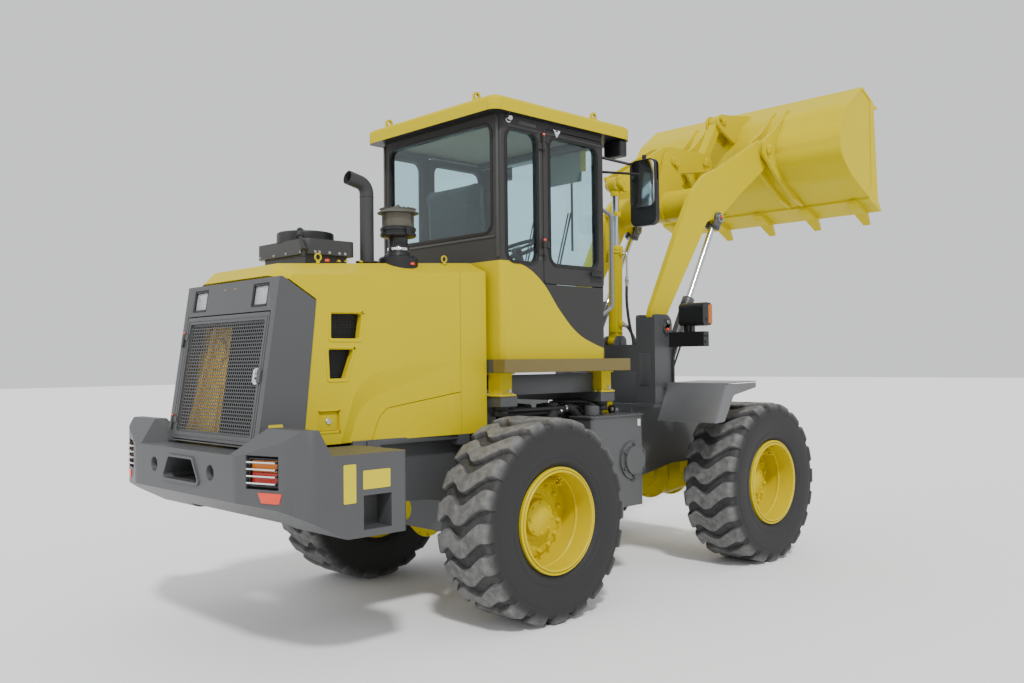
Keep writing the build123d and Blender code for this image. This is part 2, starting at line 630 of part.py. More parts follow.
def hydraulic_tank():
    """Right tank with a round bolted cover on its outer side and a filler cap."""
    body = tank(-1)
    body += bar((1040, -TANK_OUT, 750), (1040, -TANK_OUT - 12, 750), 118)
    body += bar((1040, -TANK_OUT - 11, 750), (1040, -TANK_OUT - 28, 750), 86)
    for angle in range(30, 390, 60):
        x, z = 1040 + 102 * math.cos(math.radians(angle)), 750 + 102 * math.sin(math.radians(angle))
        body += bar((x, -TANK_OUT - 11, z), (x, -TANK_OUT - 20, z), 9)
    return body + post((790, -510), 42, TANK_TOP, TANK_TOP + 60)


def fuel_tank():
    """Left tank with two steps on its outer side and a filler cap."""
    body = tank(1)
    for z in (430, 760):
        tread = block(TANK_REAR + 60, TANK_FRONT - 60, TANK_OUT - 1, TANK_OUT + 120, z, z + 25)
        body += tread
        for x in (TANK_REAR + 60, TANK_FRONT - 72):
            body += block(x, x + 12, TANK_OUT - 1, TANK_OUT + 120, z, z + 120)
    return body + post((790, 510), 42, TANK_TOP, TANK_TOP + 60)


# ---------------------------------------------------------------- cab
def cab_floor_frame():
    """Flat frame that the cab is bolted to."""
    return block(-30, 1000, -CAB_HALF_WIDTH + 5, CAB_HALF_WIDTH - 5, 1310, CAB_FLOOR_Z)


def cab_mounts():
    """Four yellow feet between the frame's outriggers and the cab."""
    feet = []
    for x in (-10, 850):
        for side in SIGNS:
            feet.append(block(x, x + 90, side * 440, side * 540, 1180, 1310))
    return Compound(children=feet)


def running_boards():
    """Folded boards along both sides of the cab."""
    board = block(-64, 1017, CAB_HALF_WIDTH - 5, CAB_HALF_WIDTH + 90, 1310, CAB_FLOOR_Z)
    board -= block(-52, 1005, CAB_HALF_WIDTH + 7, CAB_HALF_WIDTH + 78, 1300, CAB_FLOOR_Z - 12)
    return Compound(children=[board, mirror(board, about=Plane.XZ)])


def door_rows(bottom, gap):
    """Rows of a door or, with no gap, of its opening."""
    return [(DOOR_REAR + gap, bottom + gap, 24), (DOOR_FRONT - gap, bottom + gap, 24),
            (DOOR_FRONT - gap, DOOR_TOP - gap, 40), (DOOR_REAR + gap, DOOR_TOP - gap, 40)]


def window_rows(x_low, x_high, z_low, z_high, corner):
    """Rows of a window with round corners."""
    return [(x_low, z_low, corner), (x_high, z_low, corner), (x_high, z_high, corner),
            (x_low, z_high, corner)]


SIDE_WINDOW = window_rows(49, 295, WINDOW_BOTTOM, WINDOW_TOP, 60)
DOOR_WINDOW = window_rows(400, 822, WINDOW_BOTTOM, WINDOW_TOP, 60)
LEFT_LOW_WINDOW = window_rows(400, 822, 1540, 1860, 50)
REAR_WINDOW = window_rows(-CAB_HALF_WIDTH + 75, CAB_HALF_WIDTH - 75, 2105, PANE_TOP, 60)
WINDSCREEN = window_rows(-CAB_HALF_WIDTH + 80, CAB_HALF_WIDTH - 80, 1700, PANE_TOP, 60)


def cab_shell():
    """Hollow cab of pressed sheet with its pillars, cut for the doors and windows."""
    half = CAB_HALF_WIDTH
    plan = [(CAB_REAR, -half, 30), (CAB_FRONT, -half, 45), (CAB_FRONT, half, 45), (CAB_REAR, half, 30)]
    body = floor_plate(plan, CAB_FLOOR_Z, CAB_TOP)
    wall = CAB_WALL
    body -= block(CAB_REAR + wall, CAB_FRONT - wall, -half + wall, half - wall, CAB_FLOOR_Z + wall,
                  CAB_TOP + 10)
    body -= side_plate(SIDE_WINDOW, -half - 10, half + 10)
    body -= side_plate(door_rows(RIGHT_DOOR_BOTTOM, 0), -half - 10, -half + wall)
    body -= side_plate(door_rows(LEFT_DOOR_BOTTOM, 0), half - wall, half + 10)
    body -= cross_plate(REAR_WINDOW, CAB_REAR - 10, CAB_REAR + wall + 10)
    body -= cross_plate(WINDSCREEN, CAB_FRONT - wall - 10, CAB_FRONT + 10)
    return body


def cab_roof():
    """Roof shell with a rounded rim and four lifting eyes."""
    half = ROOF_HALF_WIDTH
    plan = [(ROOF_REAR, -half, 60), (ROOF_FRONT, -half, 90), (ROOF_FRONT, half, 90), (ROOF_REAR, half, 60)]
    body = floor_plate(plan, CAB_TOP, ROOF_TOP)
    body = fillet(body.edges().group_by(Axis.Z)[-1], 26)
    for x, y in ((780, 560), (-50, 410)):
        eye_z = ROOF_TOP + 22
        eye = side_plate([(x - 26, ROOF_TOP - 30, 0), (x + 26, ROOF_TOP - 30, 0), (x + 26, eye_z + 26, 25),
                          (x - 26, eye_z + 26, 25)], y - EYE_PLATE / 2, y + EYE_PLATE / 2)
        eye -= pin((x, eye_z), EYE_BORE_RADIUS, y - 20, y + 20)
        body += both_sides(eye)
    return body


def cab_glass():
    """Fixed panes: rear, front and the narrow ones behind the doors."""
    panes = [
        cross_plate(REAR_WINDOW, CAB_REAR + 12, CAB_REAR + 12 + GLASS),
        cross_plate(WINDSCREEN, CAB_FRONT - 18, CAB_FRONT - 18 + GLASS),
    ]
    for side in SIGNS:
        face = side * (CAB_HALF_WIDTH - 12)
        panes.append(side_plate(SIDE_WINDOW, face, face - side * GLASS))
    return Compound(children=panes)


def door(side, bottom, windows):
    """Door slab with its window cut and its two hinge leaves."""
    face = side * CAB_HALF_WIDTH
    body = side_plate(door_rows(bottom, PANEL_GAP), face, face - side * DOOR_THICK)
    for rows in windows:
        body -= side_plate(rows, face + side * 10, face - side * (DOOR_THICK + 10))
    axis_y = side * (CAB_HALF_WIDTH + DOOR_HINGE_OUT)
    for z in (2030, 2645):
        knuckle = post((DOOR_REAR, axis_y), 11, z, z + 42)
        knuckle += block(DOOR_REAR, DOOR_REAR + 44, side * CAB_HALF_WIDTH, axis_y - side * 4, z + 4, z + 38)
        knuckle -= post((DOOR_REAR, axis_y), 6 + PIN_FIT, z - 1, z + 43)
        body += knuckle
    # lever handle on its round boss
    handle_x = DOOR_FRONT - 55
    body += bar((handle_x, face - side, 1900), (handle_x, face + side * 24, 1900), 18)
    lever = block(handle_x - 96, handle_x + 12, face + side * 16, face + side * 28, 1889, 1911)
    return body + lever


def door_glass(side, windows):
    """Panes of a door."""
    face = side * (CAB_HALF_WIDTH - 12)
    panes = [side_plate(rows, face, face - side * GLASS) for rows in windows]
    return Compound(children=panes)


def hinge_halves():
    """Fixed halves of the door hinges: a lower knuckle with its pin, on a leaf."""
    halves = []
    for side in SIGNS:
        axis_y = side * (CAB_HALF_WIDTH + DOOR_HINGE_OUT)
        for z in (2030, 2645):
            half = post((DOOR_REAR, axis_y), 11, z - 44, z - 2)
            half += post((DOOR_REAR, axis_y), 6, z - 3, z + 41)
            half += block(DOOR_REAR - 44, DOOR_REAR, side * (CAB_HALF_WIDTH - 1), axis_y - side * 4, z - 40,
                          z - 6)
            halves.append(half)
    return Compound(children=halves)


def seat_base():
    """Suspension box under the seat."""
    return block(190, 560, -210, 210, CAB_FLOOR_Z + CAB_WALL, 1760)


def seat_cushion():
    """Plain closed solid of the cushion."""
    return block(180, 640, -235, 235, 1760, 1870)


def seat_backrest():
    """Plain closed solid of the backrest."""
    rows = [(110, 1870, 0), (230, 1870, 0), (180, 2440, 40), (85, 2440, 40)]
    return side_plate(rows, -220, 220)


def steering_column():
    """Console, column and wheel."""
    body = block(720, 850, -170, 170, CAB_FLOOR_Z + CAB_WALL, 1900)
    body += bar((760, 0, 1850), (662, 0, 2066), 28)
    wheel = Torus(185, 13)
    wheel += post((0, 0), 34, -36, 12)
    for angle in (90, 210, 330):
        reach = (182 * math.cos(math.radians(angle)), 182 * math.sin(math.radians(angle)), 0)
        wheel += bar((reach[0] * 0.1, reach[1] * 0.1, 0), reach, 9)
    return body + Plane(origin=(650, 0, 2092), z_dir=(-105, 0, 230)) * wheel


def mirrors():
    """Two mirrors on tube arms from the front pillars."""
    start, arm_y, top = CAB_FRONT + 7.5, CAB_HALF_WIDTH - 60, CAB_TOP - 110
    out = CAB_HALF_WIDTH + 205
    arm = bent_tube([(start, arm_y, top), (1035, out - 110, top - 55), (1035, out, top - 65),
                     (1035, out, top - 175)], 30, 9)
    arm += bar((start, arm_y, top - 95), (1035, out - 2, top - 135), 8)
    arm += block(CAB_FRONT, CAB_FRONT + 8, arm_y - 17, arm_y + 15, top - 120, top + 25)
    head = block(1018, 1052, out - 98, out + 98, top - 455, top - 155)
    head = fillet(head.edges().filter_by(Axis.X), 45)
    one = arm + head
    return Compound(children=[one, mirror(one, about=Plane.XZ)])


def handrails():
    """Grab rails on the front pillars."""
    start, foot_y, out = CAB_FRONT + 10, CAB_HALF_WIDTH - 63, CAB_HALF_WIDTH - 25
    high, low = CAB_TOP - 430, CAB_FLOOR_Z + 260
    one = bent_tube([(start, foot_y, high), (985, out, high - 45), (985, out, low + 65),
                     (start, foot_y, low)], 45, 12)
    for z in (high, low):
        one += block(CAB_FRONT, CAB_FRONT + 8, foot_y - 16, foot_y + 18, z - 24, z + 24)
    return Compound(children=[one, mirror(one, about=Plane.XZ)])


# ---------------------------------------------------------------- front frame
def front_frame():
    """Hinge plates, nose with side plates over the axle, two towers and their pins."""
    nose_y = 262.0
    plate = [(1450, 560, 30), (1900, RAIL_BOTTOM, 60), (2380, RAIL_BOTTOM, 30), (2330, 900, 60),
             (1750, TOWER_BOTTOM, 30), (1450, TOWER_BOTTOM, 0)]
    body = both_sides(side_plate(plate, nose_y, nose_y + 24))
    body += block(1450, 1474, -nose_y - 1, nose_y + 1, 440, TOWER_BOTTOM)
    body += block(2290, 2314, -nose_y - 1, nose_y + 1, RAIL_BOTTOM, 880)
    body += block(1450, TOWER_FRONT, -TOWER_OUT - 20, TOWER_OUT + 20, TOWER_BOTTOM, TOWER_BOTTOM + 20)
    for z in (HINGE_UPPER_Z, HINGE_LOWER_Z):
        half = HINGE_PLATE / 2
        rows = [(1451, -230, 0), (ARTICULATION_X + 100, -100, 30), (ARTICULATION_X - 75, -75, 70),
                (ARTICULATION_X - 75, 75, 70), (ARTICULATION_X + 100, 100, 30), (1451, 230, 0)]
        body += floor_plate(rows, z - half, z + half) - post((ARTICULATION_X, 0),
                                                             HINGE_PIN_RADIUS + PIN_FIT, 0, 2000)
    tower = [(TOWER_REAR, TOWER_BOTTOM - 1, 0), (TOWER_FRONT, TOWER_BOTTOM - 1, 0),
             (TOWER_FRONT, TOWER_TOP, 70),
             (TOWER_REAR, TOWER_TOP, 20)]
    for side in SIGNS:
        for face in (TOWER_OUT - TOWER_PLATE, TOWER_IN):
            body += side_plate(tower, side * face, side * (face + TOWER_PLATE))
        body += block(TOWER_REAR, TOWER_REAR + 20, side * TOWER_IN, side * (TOWER_OUT - 1),
                      TOWER_BOTTOM - 1, TOWER_TOP - 20)
        body += pin(BOOM_PIVOT, BOOM_PIN_RADIUS, side * TOWER_IN, side * (TOWER_OUT + 8))
        body += pin(LIFT_BASE, BOOM_PIN_RADIUS, side * TOWER_IN, side * (TOWER_OUT + 8))
    # cross box between the towers, with the tilt cylinder's ears
    body += block(TOWER_REAR + 1, TOWER_REAR + 40, -TOWER_IN - 1, TOWER_IN + 1, 1300, 1480)
    ear = [(TOWER_REAR + 39, 1310, 0), (TOWER_REAR + 90, 1310, 20),
           (TILT_BASE[0] + 45, TILT_BASE[1] - 40, 45),
           (TILT_BASE[0] + 45, TILT_BASE[1] + 48, 45), (TILT_BASE[0] - 45, TILT_BASE[1] + 48, 45),
           (TOWER_REAR + 39, 1440, 0)]
    ear_y = LINK_HALF + SIDE_GAP
    body += both_sides(side_plate(ear, ear_y, ear_y + PLATE))
    body += pin(TILT_BASE, BOOM_PIN_RADIUS, -ear_y - PLATE - 6, ear_y + PLATE + 6)
    for low in (STEER_Z + 22, STEER_Z - 34):
        lug = [(1451, 200, 0), (STEER_EYE[0] - 26, STEER_EYE[1] - 30, 20),
               (STEER_EYE[0] - 26, STEER_EYE[1] + 30, 20),
               (1451, 290, 0)]
        body += both_sides(floor_plate(lug, low, low + 12))
    body += both_sides(post(STEER_EYE, 14, STEER_Z + 20, STEER_Z + 40))
    body += both_sides(post(STEER_EYE, 14, STEER_Z - 40, STEER_Z - 20))
    return body


def front_fenders():
    """Bent sheet over the back of each front tyre, on a bracket from the tower."""
    inner, outer = 525, 970
    rows = [(1432, 970, 0), (1560, 1216, 12), (1917, 1222, 0)]
    plane = Plane((0, outer, 0), x_dir=(1, 0, 0), z_dir=(0, -1, 0))
    one = extrude(plane * strip(rows, -6), outer - inner)
    skirt = [(1436, 968, 0), (1562, 1211, 0), (1915, 1217, 0), (1915, 1185, 0), (1650, 1140, 30),
             (1540, 975, 30)]
    one += side_plate(skirt, outer - 6, outer)
    shelf = LIFT_BASE[1] + BOOM_PIN_RADIUS + 3
    one += block(1600, TOWER_FRONT, TOWER_OUT, inner + 1, shelf, 1213)
    one += block(1600, TOWER_FRONT, inner, outer - 5, shelf, 1213)
    return Compound(children=[one, mirror(one, about=Plane.XZ)])


def front_lamps():
    """Head lamps with their turn lamps, on brackets outside the towers."""
    bracket = block(1655, 1715, TOWER_OUT, 742, 1460, 1560)
    bracket -= block(1665, 1730, TOWER_OUT + 10, 732, 1440, 1550)
    stem = block(1665, 1705, 575, 640, 1559, 1601)
    lamp = block(1650, 1755, 545, 742, 1600, 1752)
    lamp = fillet(lamp.edges().filter_by(Axis.Y), 30)
    one = bracket + stem + lamp
    return Compound(children=[one, mirror(one, about=Plane.XZ)])


# ---------------------------------------------------------------- boom, rocker, link and bucket
def boom():
    """Two bent arms, the cross tube with the rocker's ears, and the lift cylinders' cheeks."""
    # x, z, corner radius
    outline = [
        (BOOM_PIVOT[0] - 88, BOOM_PIVOT[1] - 88, 86), (BOOM_PIVOT[0] + 88, BOOM_PIVOT[1] - 88, 86),
        (BOOM_PIVOT[0] + 100, BOOM_PIVOT[1] + 90, 60), (2125, 2245, 500), (2215, 2378, 90),
        (LIFT_EYE[0] + 90, LIFT_EYE[1] + 50, 90), (2680, 2645, 400), (2995, 2855, 300),
        (BUCKET_PIVOT[0] + 76, BUCKET_PIVOT[1] - 70, 70), (BUCKET_PIVOT[0] + 50, BUCKET_PIVOT[1] + 72, 66),
        (BUCKET_PIVOT[0] - 95, BUCKET_PIVOT[1] + 40, 90), (2420, 2812, 300), (2205, 2725, 200),
        (2030, 2565, 250),
        (1850, 2270, 500), (BOOM_PIVOT[0] - 92, BOOM_PIVOT[1] + 90, 200),
    ]
    arm = side_plate(outline, ARM_IN, ARM_OUT)
    # the lug that the lift rod's forked eye holds
    eye_x, eye_z = LIFT_EYE
    lug = [(eye_x - 40, eye_z - 40, 39), (eye_x + 44, eye_z - 40, 39), (eye_x + 110, eye_z + 90, 0),
           (eye_x - 80, eye_z + 90, 0)]
    arm += side_plate(lug, ARM_IN, ARM_OUT)
    arm += pin(BOOM_PIVOT, 68, TOWER_IN + TOWER_PLATE + SIDE_GAP, TOWER_OUT - TOWER_PLATE - SIDE_GAP)
    arm += pin(BUCKET_PIVOT, 72, ARM_IN - 22, ARM_OUT + 22)
    arm -= pin(BOOM_PIVOT, BOOM_PIN_RADIUS + PIN_FIT, 200, 500)
    arm -= pin(BUCKET_PIVOT, BOOM_PIN_RADIUS + PIN_FIT, 200, 500)
    body = both_sides(arm)
    # cross tube and rocker ears
    body += pin(CROSS_TUBE, CROSS_TUBE_RADIUS, -ARM_IN - 1, ARM_IN + 1)
    ear_y = LINK_HALF + SIDE_GAP + PLATE + SIDE_GAP
    ear = [(CROSS_TUBE[0] - 160, CROSS_TUBE[1] + 40, 60), (CROSS_TUBE[0] - 75, CROSS_TUBE[1] - 120, 30),
           (CROSS_TUBE[0] + 145, CROSS_TUBE[1] + 75, 40), (ROCKER_PIVOT[0] + 84, ROCKER_PIVOT[1] + 72, 76),
           (ROCKER_PIVOT[0] - 84, ROCKER_PIVOT[1] + 72, 76)]
    body += both_sides(side_plate(ear, ear_y, ear_y + PLATE))
    body += pin(ROCKER_PIVOT, BOOM_PIN_RADIUS, -ear_y - PLATE - 8, ear_y + PLATE + 8)
    return body


def rocker():
    """Two bent plates on a hub, with the link's pin below and stub pins for the tilt rod."""
    low_y = LINK_HALF + SIDE_GAP
    outline = [
        (ROCKER_TILT_PIN[0] - 62, ROCKER_TILT_PIN[1] + 40, 58),
        (ROCKER_TILT_PIN[0] + 20, ROCKER_TILT_PIN[1] - 66, 58),
        (ROCKER_PIVOT[0] + 20, ROCKER_PIVOT[1] - 88, 200),
        (ROCKER_LINK_PIN[0] + 62, ROCKER_LINK_PIN[1] - 62, 60),
        (ROCKER_LINK_PIN[0] + 62, ROCKER_LINK_PIN[1] + 62, 60),
        (ROCKER_PIVOT[0] + 60, ROCKER_PIVOT[1] + 120, 200),
        (ROCKER_PIVOT[0] - 80, ROCKER_PIVOT[1] + 100, 120),
    ]
    plate = side_plate(outline, low_y, low_y + PLATE)
    body = both_sides(plate)
    body += pin(ROCKER_PIVOT, 66, -low_y - PLATE, low_y + PLATE)
    body -= pin(ROCKER_PIVOT, BOOM_PIN_RADIUS + PIN_FIT, -100, 100)
    for side in SIGNS:
        body += pin(ROCKER_LINK_PIN, 36, side * low_y, side * (low_y + PLATE + 4))
        body += pin(ROCKER_TILT_PIN, 36, side * low_y, side * (low_y + PLATE + 4))
    return body


def bucket_link():
    """Straight link from the rocker to the bucket, with a plugged eye at each end."""
    start, end = Vector(*ROCKER_LINK_PIN), Vector(*LINK_BUCKET_PIN)
    run = end - start
    across = Vector(-run.Y, run.X).normalized() * 34
    corners = [start + across, start - across, end - across, end + across]
    body = side_plate([(point.X, point.Y, 0) for point in corners], -LINK_HALF, LINK_HALF)
    body += pin(ROCKER_LINK_PIN, 58, -LINK_HALF, LINK_HALF)
    return body + pin(LINK_BUCKET_PIN, 54, -LINK_HALF, LINK_HALF)


BUCKET_PROFILE = [
    (3762, 2556, 0), (3560, 2632, 400), (3275, 2765, 250), (3092, 2920, 150), (3105, 3110, 250),
    (3240, 3310, 250),
    (3474, 3487, 0), (3660, 3394, 0), (3712, 2620, 0),
]


def bucket():
    """Rolled shell with end plates, a cutting edge, ribs that run into the hinge ears, and link ears."""
    half = BUCKET_HALF_WIDTH
    body = side_plate(BUCKET_PROFILE, -half, half)
    # hinge ears, one each side of an arm, drawn out along the shell as ribs
    ear = [(BUCKET_PIVOT[0] - 70, BUCKET_PIVOT[1] - 70, 66), (3135, 2812, 120), (3380, 2672, 0),
           (3530, 2625, 0),
           (3560, 2660, 0), (3330, 2800, 0), (3200, 2960, 0), (3200, 3200, 0), (3340, 3385, 0),
           (3300, 3378, 0),
           (3090, 3180, 120), (BUCKET_PIVOT[0] - 20, BUCKET_PIVOT[1] + 85, 60),
           (BUCKET_PIVOT[0] - 72, BUCKET_PIVOT[1] + 60, 60)]
    gap = ARM_OUT + 22 + SIDE_GAP
    inner_gap = ARM_IN - 22 - SIDE_GAP
    body += both_sides(side_plate(ear, gap, gap + PLATE))
    body += both_sides(side_plate(ear, inner_gap - PLATE, inner_gap))
    link_y = LINK_HALF + SIDE_GAP
    link_ear = [(LINK_BUCKET_PIN[0] - 60, LINK_BUCKET_PIN[1] - 50, 56), (3120, 3150, 0), (3190, 3230, 0),
                (3400, 3420, 0), (LINK_BUCKET_PIN[0] + 40, LINK_BUCKET_PIN[1] + 62, 60),
                (LINK_BUCKET_PIN[0] - 62, LINK_BUCKET_PIN[1] + 56, 56)]
    body += both_sides(side_plate(link_ear, link_y, link_y + PLATE))
    # hollow it, and open the mouth between the end plates
    room = half - BUCKET_WALL
    inner = face_from(BUCKET_PROFILE, Plane((0, room, 0), x_dir=(1, 0, 0), z_dir=(0, -1, 0)))
    body -= extrude(offset(inner, -BUCKET_WALL), 2 * room)
    mouth = side_plate([(3474 + 20, 3460, 0), (3640, 3380, 0), (3900, 3380, 0), (3900, 2600, 0),
                        (3700, 2600, 0),
                        (3560, 2665, 0)], -room, room)
    body -= mouth
    # the end plates step back behind the bars along their front edges, which end in small horns
    panel = [(3600, 2650, 60), (3290, 2785, 250), (3112, 2930, 150), (3124, 3105, 240), (3250, 3296, 250),
             (3474, 3466, 0), (3600, 3404, 0)]
    body -= both_sides(side_plate(panel, half - BUCKET_STEP, half + 1))
    body += both_sides(block(3640, 3722, half - 60, half, 3352, 3374))
    # cutting edge under the shell
    edge = [(3560, 2632, 0), (3762, 2556, 0), (3762, 2556 - EDGE_DROP, 0), (3560, 2632 - EDGE_DROP, 0)]
    body += side_plate(edge, -half, half)
    for side in SIGNS:
        body += pin(BUCKET_PIVOT, BOOM_PIN_RADIUS, side * (inner_gap - PLATE - 8),
                    side * (gap + PLATE + 12))
        body += pin(BUCKET_PIVOT, 44, side * (gap + PLATE), side * (gap + PLATE + 8))
        body += pin(LINK_BUCKET_PIN, BOOM_PIN_RADIUS, side * link_y, side * (link_y + PLATE + 8))
    return body


def bucket_teeth():
    """Five forged teeth under the cutting edge: a round-tailed shank that narrows to a chisel tip."""
    # x, z, corner radius, seen from the side
    rows = [
        (3548, 2636 - EDGE_DROP, 0), (3762, 2556 - EDGE_DROP, 0), (TOOTH_TIP[0], TOOTH_TIP[1] + 8, 0),
        (TOOTH_TIP[0] - 10, TOOTH_TIP[1] - 6, 0), (3680, 2530, 30), (3600, 2566, 30), (3552, 2600, 12),
    ]
    # x, y, corner radius, seen from above
    plan = [(3540, -44, 43), (3700, -44, 40), (TOOTH_TIP[0] + 5, -26, 0), (TOOTH_TIP[0] + 5, 26, 0),
            (3700, 44, 40),
            (3540, 44, 43)]
    tooth = side_plate(rows, -60, 60) & floor_plate(plan, 2400, 2700)
    return Compound(children=[Pos(0, y, 0) * tooth for y in TOOTH_Y])


# ---------------------------------------------------------------- hydraulic cylinders
def span(base, eye):
    """Distance between the pins of a cylinder."""
    return math.hypot(eye[0] - base[0], eye[1] - base[1])


def barrel(length, radius, rod_radius, half_width, pin_radius, neck, start):
    """Barrel along X from its eye at the origin: a flat neck, then the tube, bored from start on."""
    body = bar((neck, 0, 0), (length, 0, 0), radius)
    body += bar((length - 45, 0, 0), (length, 0, 0), radius + 4)
    body += block(0, neck + 1, -half_width, half_width, -pin_radius - 6, pin_radius + 6)
    body += bar((0, -half_width, 0), (0, half_width, 0), pin_radius + 18)
    body -= bar((start, 0, 0), (length + 10, 0, 0), rod_radius + PIN_FIT)
    return body - bar((0, -half_width - 1, 0), (0, half_width + 1, 0), pin_radius + PIN_FIT)


def rod(length, inner_end, radius, half_width, eye_radius):
    """Rod along X from inner_end to its eye at length, the eye filled by its own plug."""
    body = bar((inner_end, 0, 0), (length - 4, 0, 0), radius)
    return body + bar((length, -half_width, 0), (length, half_width, 0), eye_radius)


def forked_rod(length, inner_end, radius, lug_half, eye_radius):
    """Rod along X from inner_end to a forked eye at length: two plugged cheeks beside the lug they hold."""
    low, high = lug_half + FORK_GAP, lug_half + FORK_GAP + FORK_PLATE
    root = length - eye_radius - FORK_ROOT_GAP
    body = bar((inner_end, 0, 0), (root, 0, 0), radius)
    body += block(root - FORK_ROOT, root, -high, high, -24, 24)
    cheek = block(root - 1, length, low, high, -34, 34)
    cheek += bar((length, low, 0), (length, high, 0), eye_radius)
    cheek += bar((length, high, 0), (length, high + 9, 0), eye_radius - 14)
    return body + both_sides(cheek)


def placed_upright(shape, base, eye, y):
    """Stand a cylinder that was made along X on its pins, which lie along Y."""
    angle = math.degrees(math.atan2(eye[1] - base[1], eye[0] - base[0]))
    return Pos(base[0], y, base[1]) * (Rot(0, -angle, 0) * shape)


def placed_level(shape, base, eye, side):
    """Lay a cylinder that was made along X on upright pins."""
    angle = math.degrees(math.atan2(side * (eye[1] - base[1]), eye[0] - base[0]))
    return Pos(base[0], side * base[1], STEER_Z) * (Rot(0, 0, angle) * (Rot(90, 0, 0) * shape))


def build():
    """All nodes by name, in the machine's own frame."""
    nodes = {
        "rear_frame": rear_frame(), "counterweight": counterweight(), "rear_axle": rear_axle(),
        "powertrain": powertrain(), "radiator": radiator(), "engine_hood": engine_hood(),
        "radiator_housing": radiator_housing(), "grille_door": grille_door(), "grille_mesh": grille_mesh(),
        "rear_lamps": rear_lamps(), "cab_lamps": cab_lamps(), "exhaust_stack": exhaust_stack(),
        "air_precleaner": air_precleaner(),
        "condenser": condenser(), "hydraulic_tank": hydraulic_tank(), "fuel_tank": fuel_tank(),
        "cab_floor_frame": cab_floor_frame(), "cab_mounts": cab_mounts(),
        "running_boards": running_boards(),
        "cab_shell": cab_shell() + hinge_halves(), "cab_roof": cab_roof(), "cab_glass": cab_glass(),
        "right_door": door(-1, RIGHT_DOOR_BOTTOM, [DOOR_WINDOW]),
        "right_door_glass": door_glass(-1, [DOOR_WINDOW]),
        "left_door": door(1, LEFT_DOOR_BOTTOM, [DOOR_WINDOW, LEFT_LOW_WINDOW]),
        "left_door_glass": door_glass(1, [DOOR_WINDOW, LEFT_LOW_WINDOW]),
        "seat_base": seat_base(), "seat_cushion": seat_cushion(), "seat_backrest": seat_backrest(),
        "steering_column": steering_column(), "mirrors": mirrors(), "handrails": handrails(),
        "front_frame": front_frame(), "front_axle": front_axle(), "front_fenders": front_fenders(),
        "front_lamps": front_lamps(), "boom": boom(), "rocker": rocker(), "bucket_link": bucket_link(),
        "bucket": bucket(), "bucket_teeth": bucket_teeth(),
    }
    lift_span = span(LIFT_BASE, LIFT_EYE)
    lift_barrel = barrel(LIFT_BARREL_LENGTH, LIFT_BARREL_RADIUS, LIFT_ROD_RADIUS, 40, BOOM_PIN_RADIUS, 40,
                         56)
    lift_rod = forked_rod(lift_span, lift_span - 772, LIFT_ROD_RADIUS, (ARM_OUT - ARM_IN) / 2, 44)
    lift_y = (ARM_IN + ARM_OUT) / 2
    steer_span = math.hypot(STEER_EYE[0] - STEER_BASE[0], STEER_EYE[1] - STEER_BASE[1])
    steer_barrel = barrel(STEER_BARREL_LENGTH, STEER_BARREL_RADIUS, STEER_ROD_RADIUS, 21, 14, 50, 60)
    steer_rod = rod(steer_span, steer_span - 436, STEER_ROD_RADIUS, 17, 32)
    tilt_span = span(TILT_BASE, ROCKER_TILT_PIN)
    tilt_barrel = barrel(TILT_BARREL_LENGTH, TILT_BARREL_RADIUS, TILT_ROD_RADIUS, LINK_HALF,
                         BOOM_PIN_RADIUS, 72, 66)
    tilt_rod = rod(tilt_span, 122, TILT_ROD_RADIUS, LINK_HALF, 54)
    # level indicator: a flat bar beside the barrel, carried by a clamp on the rod
    indicator_y = LINK_HALF + SIDE_GAP + PLATE + 4 + SIDE_GAP
    clamp_end = tilt_span - INDICATOR_BELOW_EYE
    tilt_rod += block(clamp_end - 30, clamp_end, -14, indicator_y + 8, -22, 22)
    tilt_rod += block(tilt_span - 560, clamp_end, indicator_y, indicator_y + 8, -15, 15)
    nodes["tilt_barrel"] = placed_upright(tilt_barrel, TILT_BASE, ROCKER_TILT_PIN, 0)
    nodes["tilt_rod"] = placed_upright(tilt_rod, TILT_BASE, ROCKER_TILT_PIN, 0)
    for name, side in SIDES:
        nodes[f"lift_barrel_{name}"] = placed_upright(lift_barrel, LIFT_BASE, LIFT_EYE, side * lift_y)
        nodes[f"lift_rod_{name}"] = placed_upright(lift_rod, LIFT_BASE, LIFT_EYE, side * lift_y)
        nodes[f"steer_barrel_{name}"] = placed_level(steer_barrel, STEER_BASE, STEER_EYE, side)
        nodes[f"steer_rod_{name}"] = placed_level(steer_rod, STEER_BASE, STEER_EYE, side)
        for end, x in (("rear", 0), ("front", WHEELBASE)):
            nodes[f"{end}_{name}_tyre"] = tyre(x, side)
            nodes[f"{end}_{name}_rim"] = rim(x, side)
    return nodes


NODES = build()
ends = [limit for shape in NODES.values() for limit in (shape.bounding_box().min.X,
                                                        shape.bounding_box().max.X)]
MIDDLE_X = (min(ends) + max(ends)) / 2
os.makedirs("parts", exist_ok=True)
for node_name, node_shape in NODES.items():
    export_step(Pos(-MIDDLE_X, 0, 0) * node_shape, f"parts/{node_name}.step")
print("nodes", len(NODES), "middle", MIDDLE_X, "length", max(ends) - min(ends))
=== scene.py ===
"""Looks of a compact wheel loader: finishes, tread, bolts, lamps, hoses, trim and seat."""
import math

import bmesh
import bpy
from mathutils import Matrix, Vector


